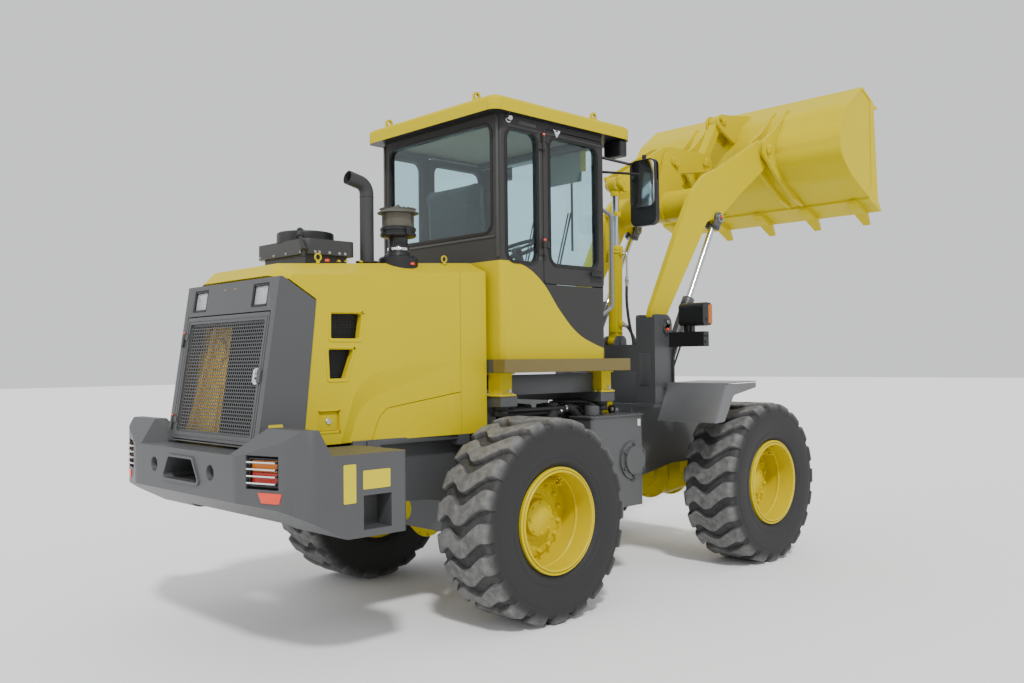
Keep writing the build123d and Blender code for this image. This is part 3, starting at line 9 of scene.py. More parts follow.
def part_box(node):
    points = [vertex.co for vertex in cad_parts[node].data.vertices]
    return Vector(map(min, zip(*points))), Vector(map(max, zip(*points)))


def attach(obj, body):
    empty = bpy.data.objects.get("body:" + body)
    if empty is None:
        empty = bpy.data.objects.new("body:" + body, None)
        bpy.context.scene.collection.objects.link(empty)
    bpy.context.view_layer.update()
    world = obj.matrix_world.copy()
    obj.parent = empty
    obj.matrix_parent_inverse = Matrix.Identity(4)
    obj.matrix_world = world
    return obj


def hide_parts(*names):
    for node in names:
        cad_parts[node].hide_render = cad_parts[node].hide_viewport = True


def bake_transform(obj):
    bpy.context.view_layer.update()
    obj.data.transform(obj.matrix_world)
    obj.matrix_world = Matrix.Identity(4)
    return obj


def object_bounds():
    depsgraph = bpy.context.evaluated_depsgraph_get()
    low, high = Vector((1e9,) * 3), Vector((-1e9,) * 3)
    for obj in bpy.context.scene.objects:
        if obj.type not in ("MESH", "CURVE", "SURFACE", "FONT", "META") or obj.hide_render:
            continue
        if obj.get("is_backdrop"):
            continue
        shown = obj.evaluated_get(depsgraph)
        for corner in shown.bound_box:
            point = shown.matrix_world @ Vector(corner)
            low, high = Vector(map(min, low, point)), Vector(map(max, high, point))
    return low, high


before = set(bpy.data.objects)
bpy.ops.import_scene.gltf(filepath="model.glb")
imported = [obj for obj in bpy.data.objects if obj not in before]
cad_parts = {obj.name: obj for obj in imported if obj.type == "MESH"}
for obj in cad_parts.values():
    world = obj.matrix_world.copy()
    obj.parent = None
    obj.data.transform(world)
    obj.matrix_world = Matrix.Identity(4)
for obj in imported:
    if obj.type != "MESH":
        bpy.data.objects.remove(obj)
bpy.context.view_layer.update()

# ---------------- floor, light and camera
# A plain pale floor in an even pale room. A soft key light shines from behind on the right, and a weak
# fill light from behind on the left. The camera stands low behind the right rear corner.
def feed(tree, node, sockets):
    """Give a node's sockets their values, or the nodes and outputs that feed them."""
    for socket, value in sockets.items():
        if isinstance(value, bpy.types.Node):
            value = value.outputs[0]
        if isinstance(value, bpy.types.NodeSocket):
            tree.links.new(value, node.inputs[socket])
        else:
            node.inputs[socket].default_value = value


def shade(finish, sockets):
    """Feed the sockets of a finish's shader."""
    feed(finish.node_tree, finish.node_tree.nodes["Principled BSDF"], sockets)


def plain(name, sockets):
    """A finish with the given values on its shader."""
    finish = bpy.data.materials.new(name)
    finish.use_nodes = True
    shade(finish, sockets)
    return finish


def shown(name, data):
    """An object in the scene with the given data."""
    thing = bpy.data.objects.new(name, data)
    bpy.context.scene.collection.objects.link(thing)
    return thing


FLOOR_HALF = 60.0
grid = bmesh.new()
bmesh.ops.create_grid(grid, x_segments=1, y_segments=1, size=FLOOR_HALF)
floor_data = bpy.data.meshes.new("studio_floor")
grid.to_mesh(floor_data)
floor_data.materials.append(plain("studio_floor", {"Base Color": (0.9, 0.9, 0.9, 1), "Roughness": 0.9}))
shown("studio_floor", floor_data)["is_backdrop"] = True

world = bpy.data.worlds.new("studio")
world.use_nodes = True
feed(world.node_tree, world.node_tree.nodes["Background"], {"Color": (0.97, 0.98, 1.0, 1), "Strength": 0.95})
bpy.context.scene.world = world


def sun(name, towards, strength, softness):
    """A distant soft light that shines along a direction."""
    lamp = bpy.data.lights.new(name, "SUN")
    lamp.energy = strength
    lamp.angle = math.radians(softness)
    stand = shown(name, lamp)
    stand.rotation_mode = "QUATERNION"
    stand.rotation_quaternion = Vector(towards).to_track_quat("-Z", "Y")


sun("key_light", (0.42, 0.62, -0.85), 2.6, 6)
sun("fill_light", (0.9, -0.35, -0.5), 0.5, 40)

EYE, FOCAL_MM, SENSOR_MM, FAR = (-4.7265, -4.372, 1.372), 33.36, 36.0, 200.0
YAW, PITCH, ROLL = (math.radians(angle) for angle in (45.92, 1.21, -0.61))
ahead = Vector((math.cos(PITCH) * math.cos(YAW), math.cos(PITCH) * math.sin(YAW), math.sin(PITCH)))
level = Vector((math.sin(YAW), -math.cos(YAW), 0))
upright = level.cross(ahead)
right = math.cos(ROLL) * level + math.sin(ROLL) * upright
over = -math.sin(ROLL) * level + math.cos(ROLL) * upright
lens_data = bpy.data.cameras.new("camera")
lens_data.sensor_width, lens_data.lens, lens_data.clip_end = SENSOR_MM, FOCAL_MM, FAR
camera = shown("camera", lens_data)
camera.matrix_world = Matrix((right, over, -ahead)).transposed().to_4x4()
camera.location = EYE
bpy.context.scene.camera = camera

# ---------------- frames of the rear and front chassis
# Welded plate, blasted and sprayed dark grey: semi-matt, with a fine spray grain. Zinc plated screws
# hold the cab's outriggers.
def put(tree, kind, sockets=None, **settings):
    """Add a shader node with its settings, and feed its sockets."""
    node = tree.nodes.new(kind)
    for name, value in settings.items():
        setattr(node, name, value)
    feed(tree, node, sockets or {})
    return node


def placed(tree):
    """Where a point lies in its object's own axes, in metres."""
    return put(tree, "ShaderNodeTexCoord").outputs["Object"]


def coat_variation():
    """Node group: slow changes of tone and gloss, and the height of a fine grain."""
    group = bpy.data.node_groups.new("coat_variation", "ShaderNodeTree")
    for way, names in (("INPUT", ("Colour", "Roughness", "Tone", "Grain Scale")),
                       ("OUTPUT", ("Colour", "Roughness", "Height"))):
        for name in names:
            kind = "NodeSocketColor" if name == "Colour" else "NodeSocketFloat"
            group.interface.new_socket(name, in_out=way, socket_type=kind)
    given, place = put(group, "NodeGroupInput").outputs, placed(group)
    slow = put(group, "ShaderNodeTexNoise", {"Vector": place, "Scale": 2.3, "Detail": 5.0})
    fine = put(group, "ShaderNodeTexNoise", {"Vector": place, "Scale": given["Grain Scale"], "Detail": 2.0})
    # the tone swings evenly about the colour, and the gloss with it
    swing = put(group, "ShaderNodeMath", {0: slow, 1: 2.0, 2: -1.0}, operation="MULTIPLY_ADD")
    share = put(group, "ShaderNodeMath", {0: swing, 1: given["Tone"]}, operation="MULTIPLY")
    value = put(group, "ShaderNodeMath", {0: share, 1: 1.0}, operation="ADD")
    tint = put(group, "ShaderNodeVectorMath", {0: given["Colour"], "Scale": value}, operation="SCALE")
    gloss = put(group, "ShaderNodeMath", {0: share, 1: 0.5, 2: given["Roughness"]},
                operation="MULTIPLY_ADD", use_clamp=True)
    put(group, "NodeGroupOutput", {"Colour": tint, "Roughness": gloss, "Height": fine})
    return group


VARIATION = coat_variation()


def coated(name, colour, roughness, tone=0.12, grain=420, depth=0.06, metallic=0.0, clear=0.0, shine=0.4):
    """A finish with varied tone and gloss and a fine grain of the given depth, in millimetres."""
    finish = plain(name, {"Metallic": metallic, "Specular IOR Level": shine, "Coat Weight": clear,
                          "Coat Roughness": 0.12})
    change = put(finish.node_tree, "ShaderNodeGroup", {
        "Colour": (*colour, 1), "Roughness": roughness, "Tone": tone, "Grain Scale": grain,
    }, name="change", node_tree=VARIATION).outputs
    bump = put(finish.node_tree, "ShaderNodeBump", {"Height": change["Height"], "Distance": depth / 1000})
    shade(finish, {"Base Color": change["Colour"], "Roughness": change["Roughness"], "Normal": bump})
    return finish


def dress(finish, *names):
    """Give CAD nodes a finish."""
    for name in names:
        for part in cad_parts[name].material_slots:
            part.material = finish


def rounded(width, *names, angle=38):
    """Round the sharp edges of CAD nodes, as a press brake, a weld or a casting leaves them."""
    for name in names:
        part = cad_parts[name]
        part.modifiers.new("joined", "WELD").merge_threshold = 0.00002
        edge = part.modifiers.new("edges", "BEVEL")
        edge.width, edge.segments, edge.limit_method = width, 2, "ANGLE"
        edge.angle_limit = math.radians(angle)


frame_grey = coated("frame_grey_paint", (0.062, 0.064, 0.066), 0.42, clear=0.1)
dress(frame_grey, "rear_frame", "front_frame")
rounded(0.003, "front_frame", "rear_frame")


def shift(x, y, z):
    """A place that is moved and not turned."""
    return Matrix.Translation((x, y, z))


def turn(angle, axis="Z"):
    """A place that is turned about an axis."""
    return Matrix.Rotation(angle, 4, axis)


def at(place, x, y, z):
    """A point given in a place's own axes."""
    return place @ Vector((x, y, z))


# shapes are built in millimetres ahead of the rear axle, to the left and above the ground
REAR_AXLE_X = sum(corner[0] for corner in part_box("rear_right_tyre")) / 2
TO_FRAME = shift(REAR_AXLE_X, 0, 0) @ Matrix.Scale(0.001, 4)
STILL = Matrix()


def meshed(name, shape, finish):
    """Turn a shape into a smooth object in the machine's frame."""
    for face in shape.faces:
        face.smooth = True
    bmesh.ops.transform(shape, matrix=TO_FRAME, verts=shape.verts)
    data = bpy.data.meshes.new(name)
    shape.to_mesh(data)
    shape.free()
    data.materials.append(finish)
    return shown(name, data)


def made(name, shape, finish, body="rear_chassis", crease=35, replaces=(), place=STILL):
    """Put a shape in its place as a piece that rides on a body, with edges sharper than crease kept sharp."""
    bmesh.ops.transform(shape, matrix=place, verts=shape.verts)
    bmesh.ops.remove_doubles(shape, verts=shape.verts, dist=0.01)
    bmesh.ops.recalc_face_normals(shape, faces=shape.faces)
    for edge in shape.edges:
        edge.smooth = len(edge.link_faces) == 2 and edge.calc_face_angle(0) < math.radians(crease)
    piece = meshed(name, shape, finish)
    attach(piece, body)
    if replaces:
        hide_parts(*replaces)


def add(shape, part, place=STILL):
    """Add a copy of a part to a shape."""
    data = bpy.data.meshes.new("part")
    part.to_mesh(data)
    data.transform(place)
    shape.from_mesh(data)
    bpy.data.meshes.remove(data)


def aimed(point, towards):
    """The place of a part that was made along Z, put at a point and aimed along a direction."""
    return Matrix.Translation(point) @ Vector(towards).to_track_quat("Z", "Y").to_matrix().to_4x4()


def circle(radius, count, start=0.0):
    """Points evenly round a circle, as (first, second)."""
    angles = [start + step * math.tau / count for step in range(count)]
    return [(radius * math.cos(angle), radius * math.sin(angle)) for angle in angles]


def rod(shape, start, end, radius, sides=24, tip=None):
    """Add a round bar from start to end; tip is its radius at the end."""
    start, end = Vector(start), Vector(end)
    bmesh.ops.create_cone(shape, cap_ends=True, segments=sides, radius1=radius,
                          radius2=radius if tip is None else tip, depth=(end - start).length,
                          matrix=aimed((start + end) / 2, end - start))


def bevelled(shape, parts, offset, affect="EDGES", segments=2):
    """Round edges or corners of a shape."""
    bmesh.ops.bevel(shape, geom=parts, offset=offset, affect=affect, segments=segments, profile=0.5,
                    material=-1)


def block(shape, one, other, bevel=0.0, place=STILL):
    """Add a box between two corners, with its edges rounded."""
    low, high = (Vector(map(pick, one, other)) for pick in (min, max))
    where = place @ Matrix.Translation((low + high) / 2) @ Matrix.Diagonal((*(high - low), 1))
    corners = bmesh.ops.create_cube(shape, size=1.0, matrix=where)["verts"]
    if bevel:
        bevelled(shape, list(dict.fromkeys(edge for corner in corners for edge in corner.link_edges)), bevel)


def rect(left, foot, right, head):
    """Outline of a rectangle, as (first, second) points."""
    return [(left, foot), (right, foot), (right, head), (left, head)]


# where an outline's first and second axes and its thickness point, for a plate square to each axis
SQUARE_TO = {
    "X": Matrix(((0, 0, 1, 0), (1, 0, 0, 0), (0, 1, 0, 0), (0, 0, 0, 1))),
    "Y": Matrix(((1, 0, 0, 0), (0, 0, 1, 0), (0, 1, 0, 0), (0, 0, 0, 1))),
    "Z": STILL,
}


def plate(shape, outline, across, one, other, corner=0.0, bevel=0.0, rim=0.0, place=STILL):
    """Add a plate between two levels of an axis; with a rim it is only a frame of that width."""
    low, high = sorted((one, other))
    flat = bmesh.new()
    flat.faces.new([flat.verts.new((first, second, 0)) for first, second in outline])
    if corner:
        bevelled(flat, flat.verts[:], corner, "VERTICES", 6)
    if rim:
        bmesh.ops.recalc_face_normals(flat, faces=flat.faces)
        middle = flat.faces[:]
        bmesh.ops.inset_region(flat, faces=middle, thickness=rim, use_boundary=True, use_even_offset=True)
        bmesh.ops.delete(flat, geom=middle, context="FACES")
    raised = bmesh.ops.extrude_face_region(flat, geom=flat.faces[:])["geom"]
    bmesh.ops.translate(flat, verts=[part for part in raised if isinstance(part, bmesh.types.BMVert)],
                        vec=(0, 0, high - low))
    bmesh.ops.translate(flat, verts=flat.verts, vec=(0, 0, low))
    bmesh.ops.recalc_face_normals(flat, faces=flat.faces)
    if bevel:
        bevelled(flat, [edge for edge in flat.edges if edge.calc_face_angle(0) > 1], bevel)
    add(shape, flat, place @ SQUARE_TO[across])
    flat.free()


def turned(rows, steps=48):
    """A shape turned about Z from rows of (radius, height)."""
    shape = bmesh.new()
    line = [shape.verts.new((radius, 0, height)) for radius, height in rows]
    for first, second in zip(line, line[1:]):
        shape.edges.new((first, second))
    bmesh.ops.spin(shape, geom=shape.verts[:] + shape.edges[:], cent=(0, 0, 0), axis=(0, 0, 1),
                   angle=math.tau, steps=steps, use_merge=True)
    bmesh.ops.remove_doubles(shape, verts=shape.verts, dist=0.01)
    return shape


def spun(shape, rows, place=STILL, steps=48):
    """Add a turned part to a shape."""
    part = turned(rows, steps)
    add(shape, part, place)
    part.free()


def band(inner, outer, low, high):
    """Rows of a square-edged ring."""
    return [(inner, low), (outer, low), (outer, high), (inner, high), (inner, low)]


# a hexagon screw of 10 mm across the head, standing on its washer
SCREW = turned([(0, 0), (9, 0), (9, 1.2), (8.6, 1.6), (0, 1.6)], 16)
rod(SCREW, (0, 0, 1.5), (0, 0, 7), 5.7, 6, 5.4)


def screw(shape, point, towards, size=1.0):
    """Add a screw's head at a point, standing out along a direction."""
    add(shape, SCREW, aimed(point, towards) @ Matrix.Scale(size, 4))


zinc = coated("zinc_plate", (0.5, 0.5, 0.48), 0.35, metallic=0.9, tone=0.25)
frame_screws = bmesh.new()
for x in (-2, 52, 838, 892):
    for y in (-500, 500):
        screw(frame_screws, (x, y, 1180), (0, 0, 1), 1.4)
made("cab_mount_screws", frame_screws, zinc)

# ---------------- axles
# Cast axle housings, painted with the machine. The differential's cover is screwed on.
YELLOW = (0.55, 0.435, 0.0)
AXLES, AXLE_Z = (("rear", 0), ("front", 2123)), 537.5
COVER_X, COVER_SCREWS, HUB_Y, HUB_SCREWS = 118, 173, 576, 100
machine_yellow = coated("machine_yellow_paint", YELLOW, 0.36, tone=0.03, grain=260, depth=0.03, shine=0.1)
dress(machine_yellow, "rear_axle", "front_axle")
for end, x in AXLES:
    shape = bmesh.new()
    for side in (1, -1):
        spun(shape, [(165, 0), (182, 0), (182, 12), (165, 12)],
             aimed((x + side * COVER_X, 0, AXLE_Z), (side, 0, 0)))
        for y, z in circle(COVER_SCREWS, 14):
            screw(shape, (x + side * (COVER_X + 12), y, AXLE_Z + z), (side, 0, 0), 1.1)
        for off, z in circle(HUB_SCREWS, 10):
            screw(shape, (x + off, side * HUB_Y, AXLE_Z + z), (0, -side, 0), 1.1)
    made(f"{end}_chassis_axle_screws", shape, machine_yellow, f"{end}_chassis")

# ---------------- tyres
# Moulded rubber with twenty deep waved lugs. The lugs' tops carry pale dust, the walls stay dark.
SIDES = ((1, "left"), (-1, "right"))
WHEELS = [(f"{end}_{word}", x, side) for end, x in AXLES for side, word in SIDES]
WHEEL_Y, TREAD_HALF, GROOVE, TREAD = 785.0, 165, 503.5, 537.5
LUGS, LUG_HALF, TREAD_ROWS = 20, 47.0, 30
LUG_PITCH = math.tau * AXLE_Z / LUGS
# how far the lugs run back round the tyre, by the share of the tread's width from its outer edge
WAVE = ((0, 0), (0.1, 6), (0.24, 38), (0.44, 90), (0.54, 101), (0.62, 98), (0.74, 62), (0.82, 51), (0.9, 68),
        (1, 94))
# half of a section round the tyre: place beside a lug's middle, and how far up the lug's wall
LUG_WALL = ((LUG_PITCH / 2, 0), (LUG_HALF + 22, 0), (LUG_HALF + 8, 0.03), (LUG_HALF + 1, 0.93),
            (LUG_HALF - 3, 1), (LUG_HALF / 2, 1))
ACROSS_LUG = [(-place, rise) for place, rise in LUG_WALL] + [(0, 1)] + list(reversed(LUG_WALL))
# the side wall from the bead to the shoulder, as (y, radius)
SIDE_WALL = ((164, 264), (166, 284), (174, 296), (184, 305), (189, 316), (190, 333), (192.5, 336),
             (192.5, 340), (191, 343), (193, 356), (196, 376), (198.5, 400), (199.5, 424), (199, 446),
             (198.5, 450), (196.5, 454), (196.3, 464))
# the shoulder's bend in the groove and on the lug
SHOULDER_GROOVE = ((196, 474), (186, GROOVE), (155, GROOVE))
SHOULDER_LUG = ((199, 478), (192, TREAD), (155, TREAD))
DUST_FROM, DUST_OVER = 490, 46


def on_bend(start, corner, end, t):
    """A point on the bend from start to end that a corner pulls, at a share t of the way."""
    return Vector(start) * (1 - t) ** 2 + Vector(corner) * (2 * t * (1 - t)) + Vector(end) * t ** 2


def wave_at(share):
    """The lugs' offset round the tyre at a share of the tread's width."""
    for (low, first), (high, second) in zip(WAVE, WAVE[1:]):
        if share <= high:
            return first + (second - first) * (share - low) / (high - low)
    return WAVE[-1][1]


def tread_stations():
    """Rows of (y, radius) in the groove, (y, radius) on the lug, and the wave, from outer to inner bead."""
    half = [(point, point) for point in SIDE_WALL]
    half += [tuple(on_bend(*bend, step / 6) for bend in (SHOULDER_GROOVE, SHOULDER_LUG)) for step in range(7)]
    rows = [(low, top, 0.0) for low, top in half]
    for step in range(2, TREAD_ROWS - 1):
        y = TREAD_HALF - 2 * TREAD_HALF * step / TREAD_ROWS
        rows.append(((y, GROOVE), (y, TREAD), wave_at(step / TREAD_ROWS)))
    return rows + [((-low[0], low[1]), (-top[0], top[1]), WAVE[-1][1]) for low, top in reversed(half)]


def tyre_shape():
    """One tyre about the Y axis, with its outer side towards +Y."""
    rows = tread_stations()
    cell = bmesh.new()
    bmesh.ops.create_grid(cell, x_segments=len(rows) - 1, y_segments=len(ACROSS_LUG) - 1, size=1.0)
    for corner in cell.verts:
        low, top, wave = rows[round((corner.co.x + 1) / 2 * (len(rows) - 1))]
        place, rise = ACROSS_LUG[round((corner.co.y + 1) / 2 * (len(ACROSS_LUG) - 1))]
        y, radius = (low[i] + (top[i] - low[i]) * rise for i in (0, 1))
        angle = math.pi + (place + wave) / AXLE_Z
        corner.co = (radius * math.cos(angle), y, radius * math.sin(angle))
    ring = bmesh.new()
    for step in range(LUGS):
        add(ring, cell, turn(step * math.tau / LUGS, "Y"))
    cell.free()
    bmesh.ops.remove_doubles(ring, verts=ring.verts, dist=0.05)
    dust = ring.verts.layers.float.new("dust")
    for corner in ring.verts:
        corner[dust] = min(1, max(0, (math.hypot(corner.co.x, corner.co.z) - DUST_FROM) / DUST_OVER))
    return ring


def second_colour(finish, share, colour):
    """Lay a second colour over a finish's own, by a share from 0 to 1."""
    tree = finish.node_tree
    mix = put(tree, "ShaderNodeMix", {"Factor": share, "A": tree.nodes["change"].outputs["Colour"],
                                      "B": (*colour, 1)}, data_type="RGBA")
    shade(finish, {"Base Color": mix.outputs["Result"]})


tyre_rubber = coated("tyre_rubber", (0.018, 0.018, 0.0185), 0.66, tone=0.25, grain=240, depth=0.5)
tree = tyre_rubber.node_tree
cloud = put(tree, "ShaderNodeTexNoise", {"Vector": placed(tree), "Scale": 26.0, "Detail": 8.0})
dusted = put(tree, "ShaderNodeAttribute", attribute_name="dust").outputs["Fac"]
second_colour(tyre_rubber, put(tree, "ShaderNodeMath", {0: dusted, 1: cloud}, operation="MULTIPLY"),
              (0.26, 0.257, 0.25))
for wheel, x, side in WHEELS:
    place = shift(x, side * WHEEL_Y, AXLE_Z) @ Matrix.Diagonal((1, side, 1, 1))
    made(f"{wheel}_tread", tyre_shape(), tyre_rubber, f"{wheel}_wheel", 30, (f"{wheel}_tyre",),
         place)

# ---------------- rims
# Pressed steel, in three pieces with a lock ring. A ring of nuts holds the disc on the hub, and a
# tube guards the valve.
NUT_CIRCLE, HUB_CIRCLE, VALVE_CIRCLE, VALVE_TURN = 188, 78, 205, math.radians(72)
RIM_RINGS = (
    # lock ring and gutter on the flange, then the well's step inside
    ([(268, 170), (279, 170), (281, 174), (281, 181), (277, 185), (270, 185), (268, 181), (268, 170)], 72),
    ([(252, 158), (263, 158), (264, 162), (264, 186), (260, 190), (255, 190), (252, 186), (252, 158)], 72),
    ([(251.5, 60), (246, 66), (246, 74), (251.5, 80)], 72),
    # planetary cover and the disc that the nuts hold
    ([(0, 52), (60, 52), (66, 48), (88, 46), (96, 40), (100, 20)], 48),
    ([(100, -26), (205, -26), (212, -22), (212, -14), (206, -10), (128, -10), (120, 2), (100, 6)], 48),
)
rim_yellow = coated("rim_yellow_paint", (0.58, 0.45, 0.0), 0.34, tone=0.05, grain=200, shine=0.15)
# the valve's guard has five notches in its end
guard = turned([(17, -12), (23, -12), (23, 112), (22, 114), (18, 114), (17, 112), (17, -12)], 32)
for step in range(5):
    block(guard, (-4, 15, 96), (4, 25, 128), 1, turn(step * math.tau / 5))
for wheel, x, side in WHEELS:
    dress(rim_yellow, f"{wheel}_rim")
    shape, outward = bmesh.new(), (0, side, 0)
    for rows, steps in RIM_RINGS:
        spun(shape, rows, aimed((x, side * WHEEL_Y, AXLE_Z), outward), steps)
    for off, z in circle(NUT_CIRCLE, 16, math.tau / 32):
        spun(shape, [(0, 0), (15, 0), (14, 14), (9, 20), (0, 21)],
             aimed((x + off, side * (WHEEL_Y - 11), AXLE_Z + z), outward), 10)
    for off, z in circle(HUB_CIRCLE, 8):
        screw(shape, (x + off, side * (WHEEL_Y + 46), AXLE_Z + z), outward, 1.3)
    off, z = circle(VALVE_CIRCLE, 1, VALVE_TURN)[0]
    add(shape, guard, aimed((x + off, side * WHEEL_Y, AXLE_Z + z), outward))
    made(f"{wheel}_rim_trim", shape, rim_yellow, f"{wheel}_wheel")

# ---------------- counterweight and rear lamps
# One iron casting with a pebbled skin under dark grey paint. Tail lamps sit in its corners behind
# round steel guards, with a red reflector below each and two plain yellow plates on each side.
LAMP_X, LAMP_Y, LAMP_Z, POCKET_TURN, SIDE_FACE = -1568, 688, 905, math.radians(-17.5), 899
cast_grey = coated("cast_iron_paint", (0.066, 0.067, 0.069), 0.46, tone=0.1, grain=190, depth=1.1, clear=0.08)
dress(cast_grey, "counterweight")
rounded(0.007, "counterweight")
chrome = coated("bright_chrome", (0.72, 0.73, 0.74), 0.13, metallic=1.0, tone=0.04, grain=60, depth=0.01)
reflector_red = coated("reflector_red", (0.75, 0.045, 0.01), 0.25, tone=0.1, grain=900, depth=0.1, clear=0.5)
plain_yellow = coated("plate_yellow", (0.62, 0.51, 0.0), 0.4, tone=0.05, grain=300, depth=0.02)
black_plastic = coated("black_plastic", (0.012, 0.012, 0.013), 0.4, tone=0.15, grain=700, depth=0.05)
RIBS_PER_SCALE, VALLEY_PAINTED_SHADE = 6.3, 0.7


def lens(name, colour, ribs=340.0, through=0.35):
    """Moulded lens: glossy, partly clear, with fine slanted ribs, and painted shade that darkens their valleys.
    """
    finish = plain(name, {"Roughness": 0.12, "Transmission Weight": through})
    tree = finish.node_tree
    wave = put(tree, "ShaderNodeTexWave", {"Vector": placed(tree), "Scale": ribs / RIBS_PER_SCALE},
               bands_direction="DIAGONAL").outputs["Fac"]
    # painted shade: the lens colour is darker in the ribs' valleys, following the same wave as the bump
    tone = put(tree, "ShaderNodeMix", {"Factor": wave, "A": (*(part * VALLEY_PAINTED_SHADE for part in colour), 1),
                                       "B": (*colour, 1)}, data_type="RGBA")
    bump = put(tree, "ShaderNodeBump", {"Height": wave, "Distance": 0.0006})
    shade(finish, {"Base Color": tone.outputs["Result"], "Normal": bump})
    return finish


red_lens, amber_lens = lens("tail_lens_red", (0.6, 0.02, 0.005)), lens("turn_lens_amber", (0.75, 0.2, 0.0))
clear_lens = lens("lamp_lens_clear", (0.82, 0.84, 0.85), 200.0, 0.5)

# the housing's sloped rear face: X to the right, Y up the slope, Z outwards
OUT_OF_SLOPE = Vector((-797, 0, 122)).normalized()
SLOPE = shift(-1463, 0, 985) @ Matrix(
    (Vector((0, -1, 0)), Vector((122, 0, 797)).normalized(), OUT_OF_SLOPE)).transposed().to_4x4()

cases, bars, red_parts, amber_parts, clear_parts, reflectors, side_plates = (bmesh.new() for _ in range(7))
for side in (1, -1):
    # the pocket's own axes: X runs into the casting, Y along its slanted corner
    pocket = shift(LAMP_X, side * LAMP_Y, LAMP_Z) @ turn(side * POCKET_TURN)
    block(cases, (40, -84, -62), (54, 84, 62), 2, pocket)
    plate(cases, rect(-84, -62, 84, 62), "X", 16, 42, 8, 1, 7, pocket)
    plate(red_parts, rect(-75, -53, 75, -1), "X", 24, 38, 8, 3, 0, pocket)
    plate(amber_parts, rect(-75, 1, 75, 53), "X", 24, 38, 8, 3, 0, pocket)
    for z in (-45, -15, 15, 45):
        for x, y, end_x, end_y in ((-2, 78, 44, 90), (-2, -78, 44, -90), (-2, -79, -2, 79)):
            rod(bars, at(pocket, x, y, z), at(pocket, end_x, end_y, z), 4.5, 12)
    plate(reflectors, [(side * y, z) for y, z in ((-20, -85), (115, -85), (100, -130), (0, -130))],
          "X", 0, 12, 4, 1.5, 0, pocket)
    for outline in (rect(-1188, 815, -1040, 898), rect(-1290, 760, -1225, 930)):
        plate(side_plates, outline, "Y", side * SIDE_FACE, side * (SIDE_FACE + 2.5), 6)
    # lamps in the housing: a black bezel, a bright dish and a ribbed lens
    head = SLOPE @ shift(side * 306, 725, 0)
    block(cases, (-66, -48, -50), (66, 48, -36), 2, head)
    plate(cases, rect(-73, -55, 73, 55), "Z", -48, -1, 8, 1.5, 10, head)
    plate(bars, rect(-62, -44, 62, 44), "Z", -37, -32, 4, 1, 0, head)
    plate(clear_parts, rect(-63, -45, 63, 45), "Z", -16, -9, 5, 3, 0, head)
made("rear_lamp_cases", cases, black_plastic, replaces=("rear_lamps",))
made("rear_lamp_bars", bars, chrome)
made("tail_lens_lower", red_parts, red_lens)
made("tail_lens_upper", amber_parts, amber_lens)
made("housing_lamp_lenses", clear_parts, clear_lens)
made("corner_reflectors", reflectors, reflector_red)
made("counterweight_plates", side_plates, plain_yellow)

# ---------------- engine bay
# Dull black engine, transmission and pumps. The radiator is a core of fins between tanks. A mottled
# yellow fan guard stands between it and the left half of the grille.
FIN_COUNT, FIN_STEP = 46, 13.6
engine_black = coated("engine_black", (0.02, 0.02, 0.021), 0.62, tone=0.3, grain=140, depth=0.5)
dress(engine_black, "powertrain", "radiator")
rounded(0.012, "powertrain")
fins = bmesh.new()
for step in range(FIN_COUNT):
    z = 1010 + step * FIN_STEP
    block(fins, (-1196, -372, z), (-1189, 372, z + 4))
block(fins, (-1200, -398, 958), (-1188, 398, 1002), 4)
block(fins, (-1200, -398, 1622), (-1188, 398, 1658), 4)
for y in (-386, 386):
    block(fins, (-1198, y - 12, 1000), (-1188, y + 12, 1624), 2)
made("radiator_fins", fins, engine_black)
guard = bmesh.new()
for low, high, bevel in (((-438, 36, -104), (-116, 606, -98), 2), ((-300, 40, -98), (-136, 300, -84), 6),
                         ((-262, 380, -98), (-170, 520, -90), 4)):
    block(guard, low, high, bevel, SLOPE)
for spots in (((-430, 40), (-380, 190), (-352, 330), (-300, 470), (-268, 606)),
              ((-236, 486), (-206, 530), (-160, 506), (-140, 440))):
    for start, end in zip(spots, spots[1:]):
        rod(guard, at(SLOPE, *start, -92), at(SLOPE, *end, -92), 19, 16)
guard_yellow = coated("guard_yellow", (0.8, 0.5, 0.0), 0.3, tone=0.75, grain=7, depth=4, shine=0.5)
made("radiator_guard", guard, guard_yellow)

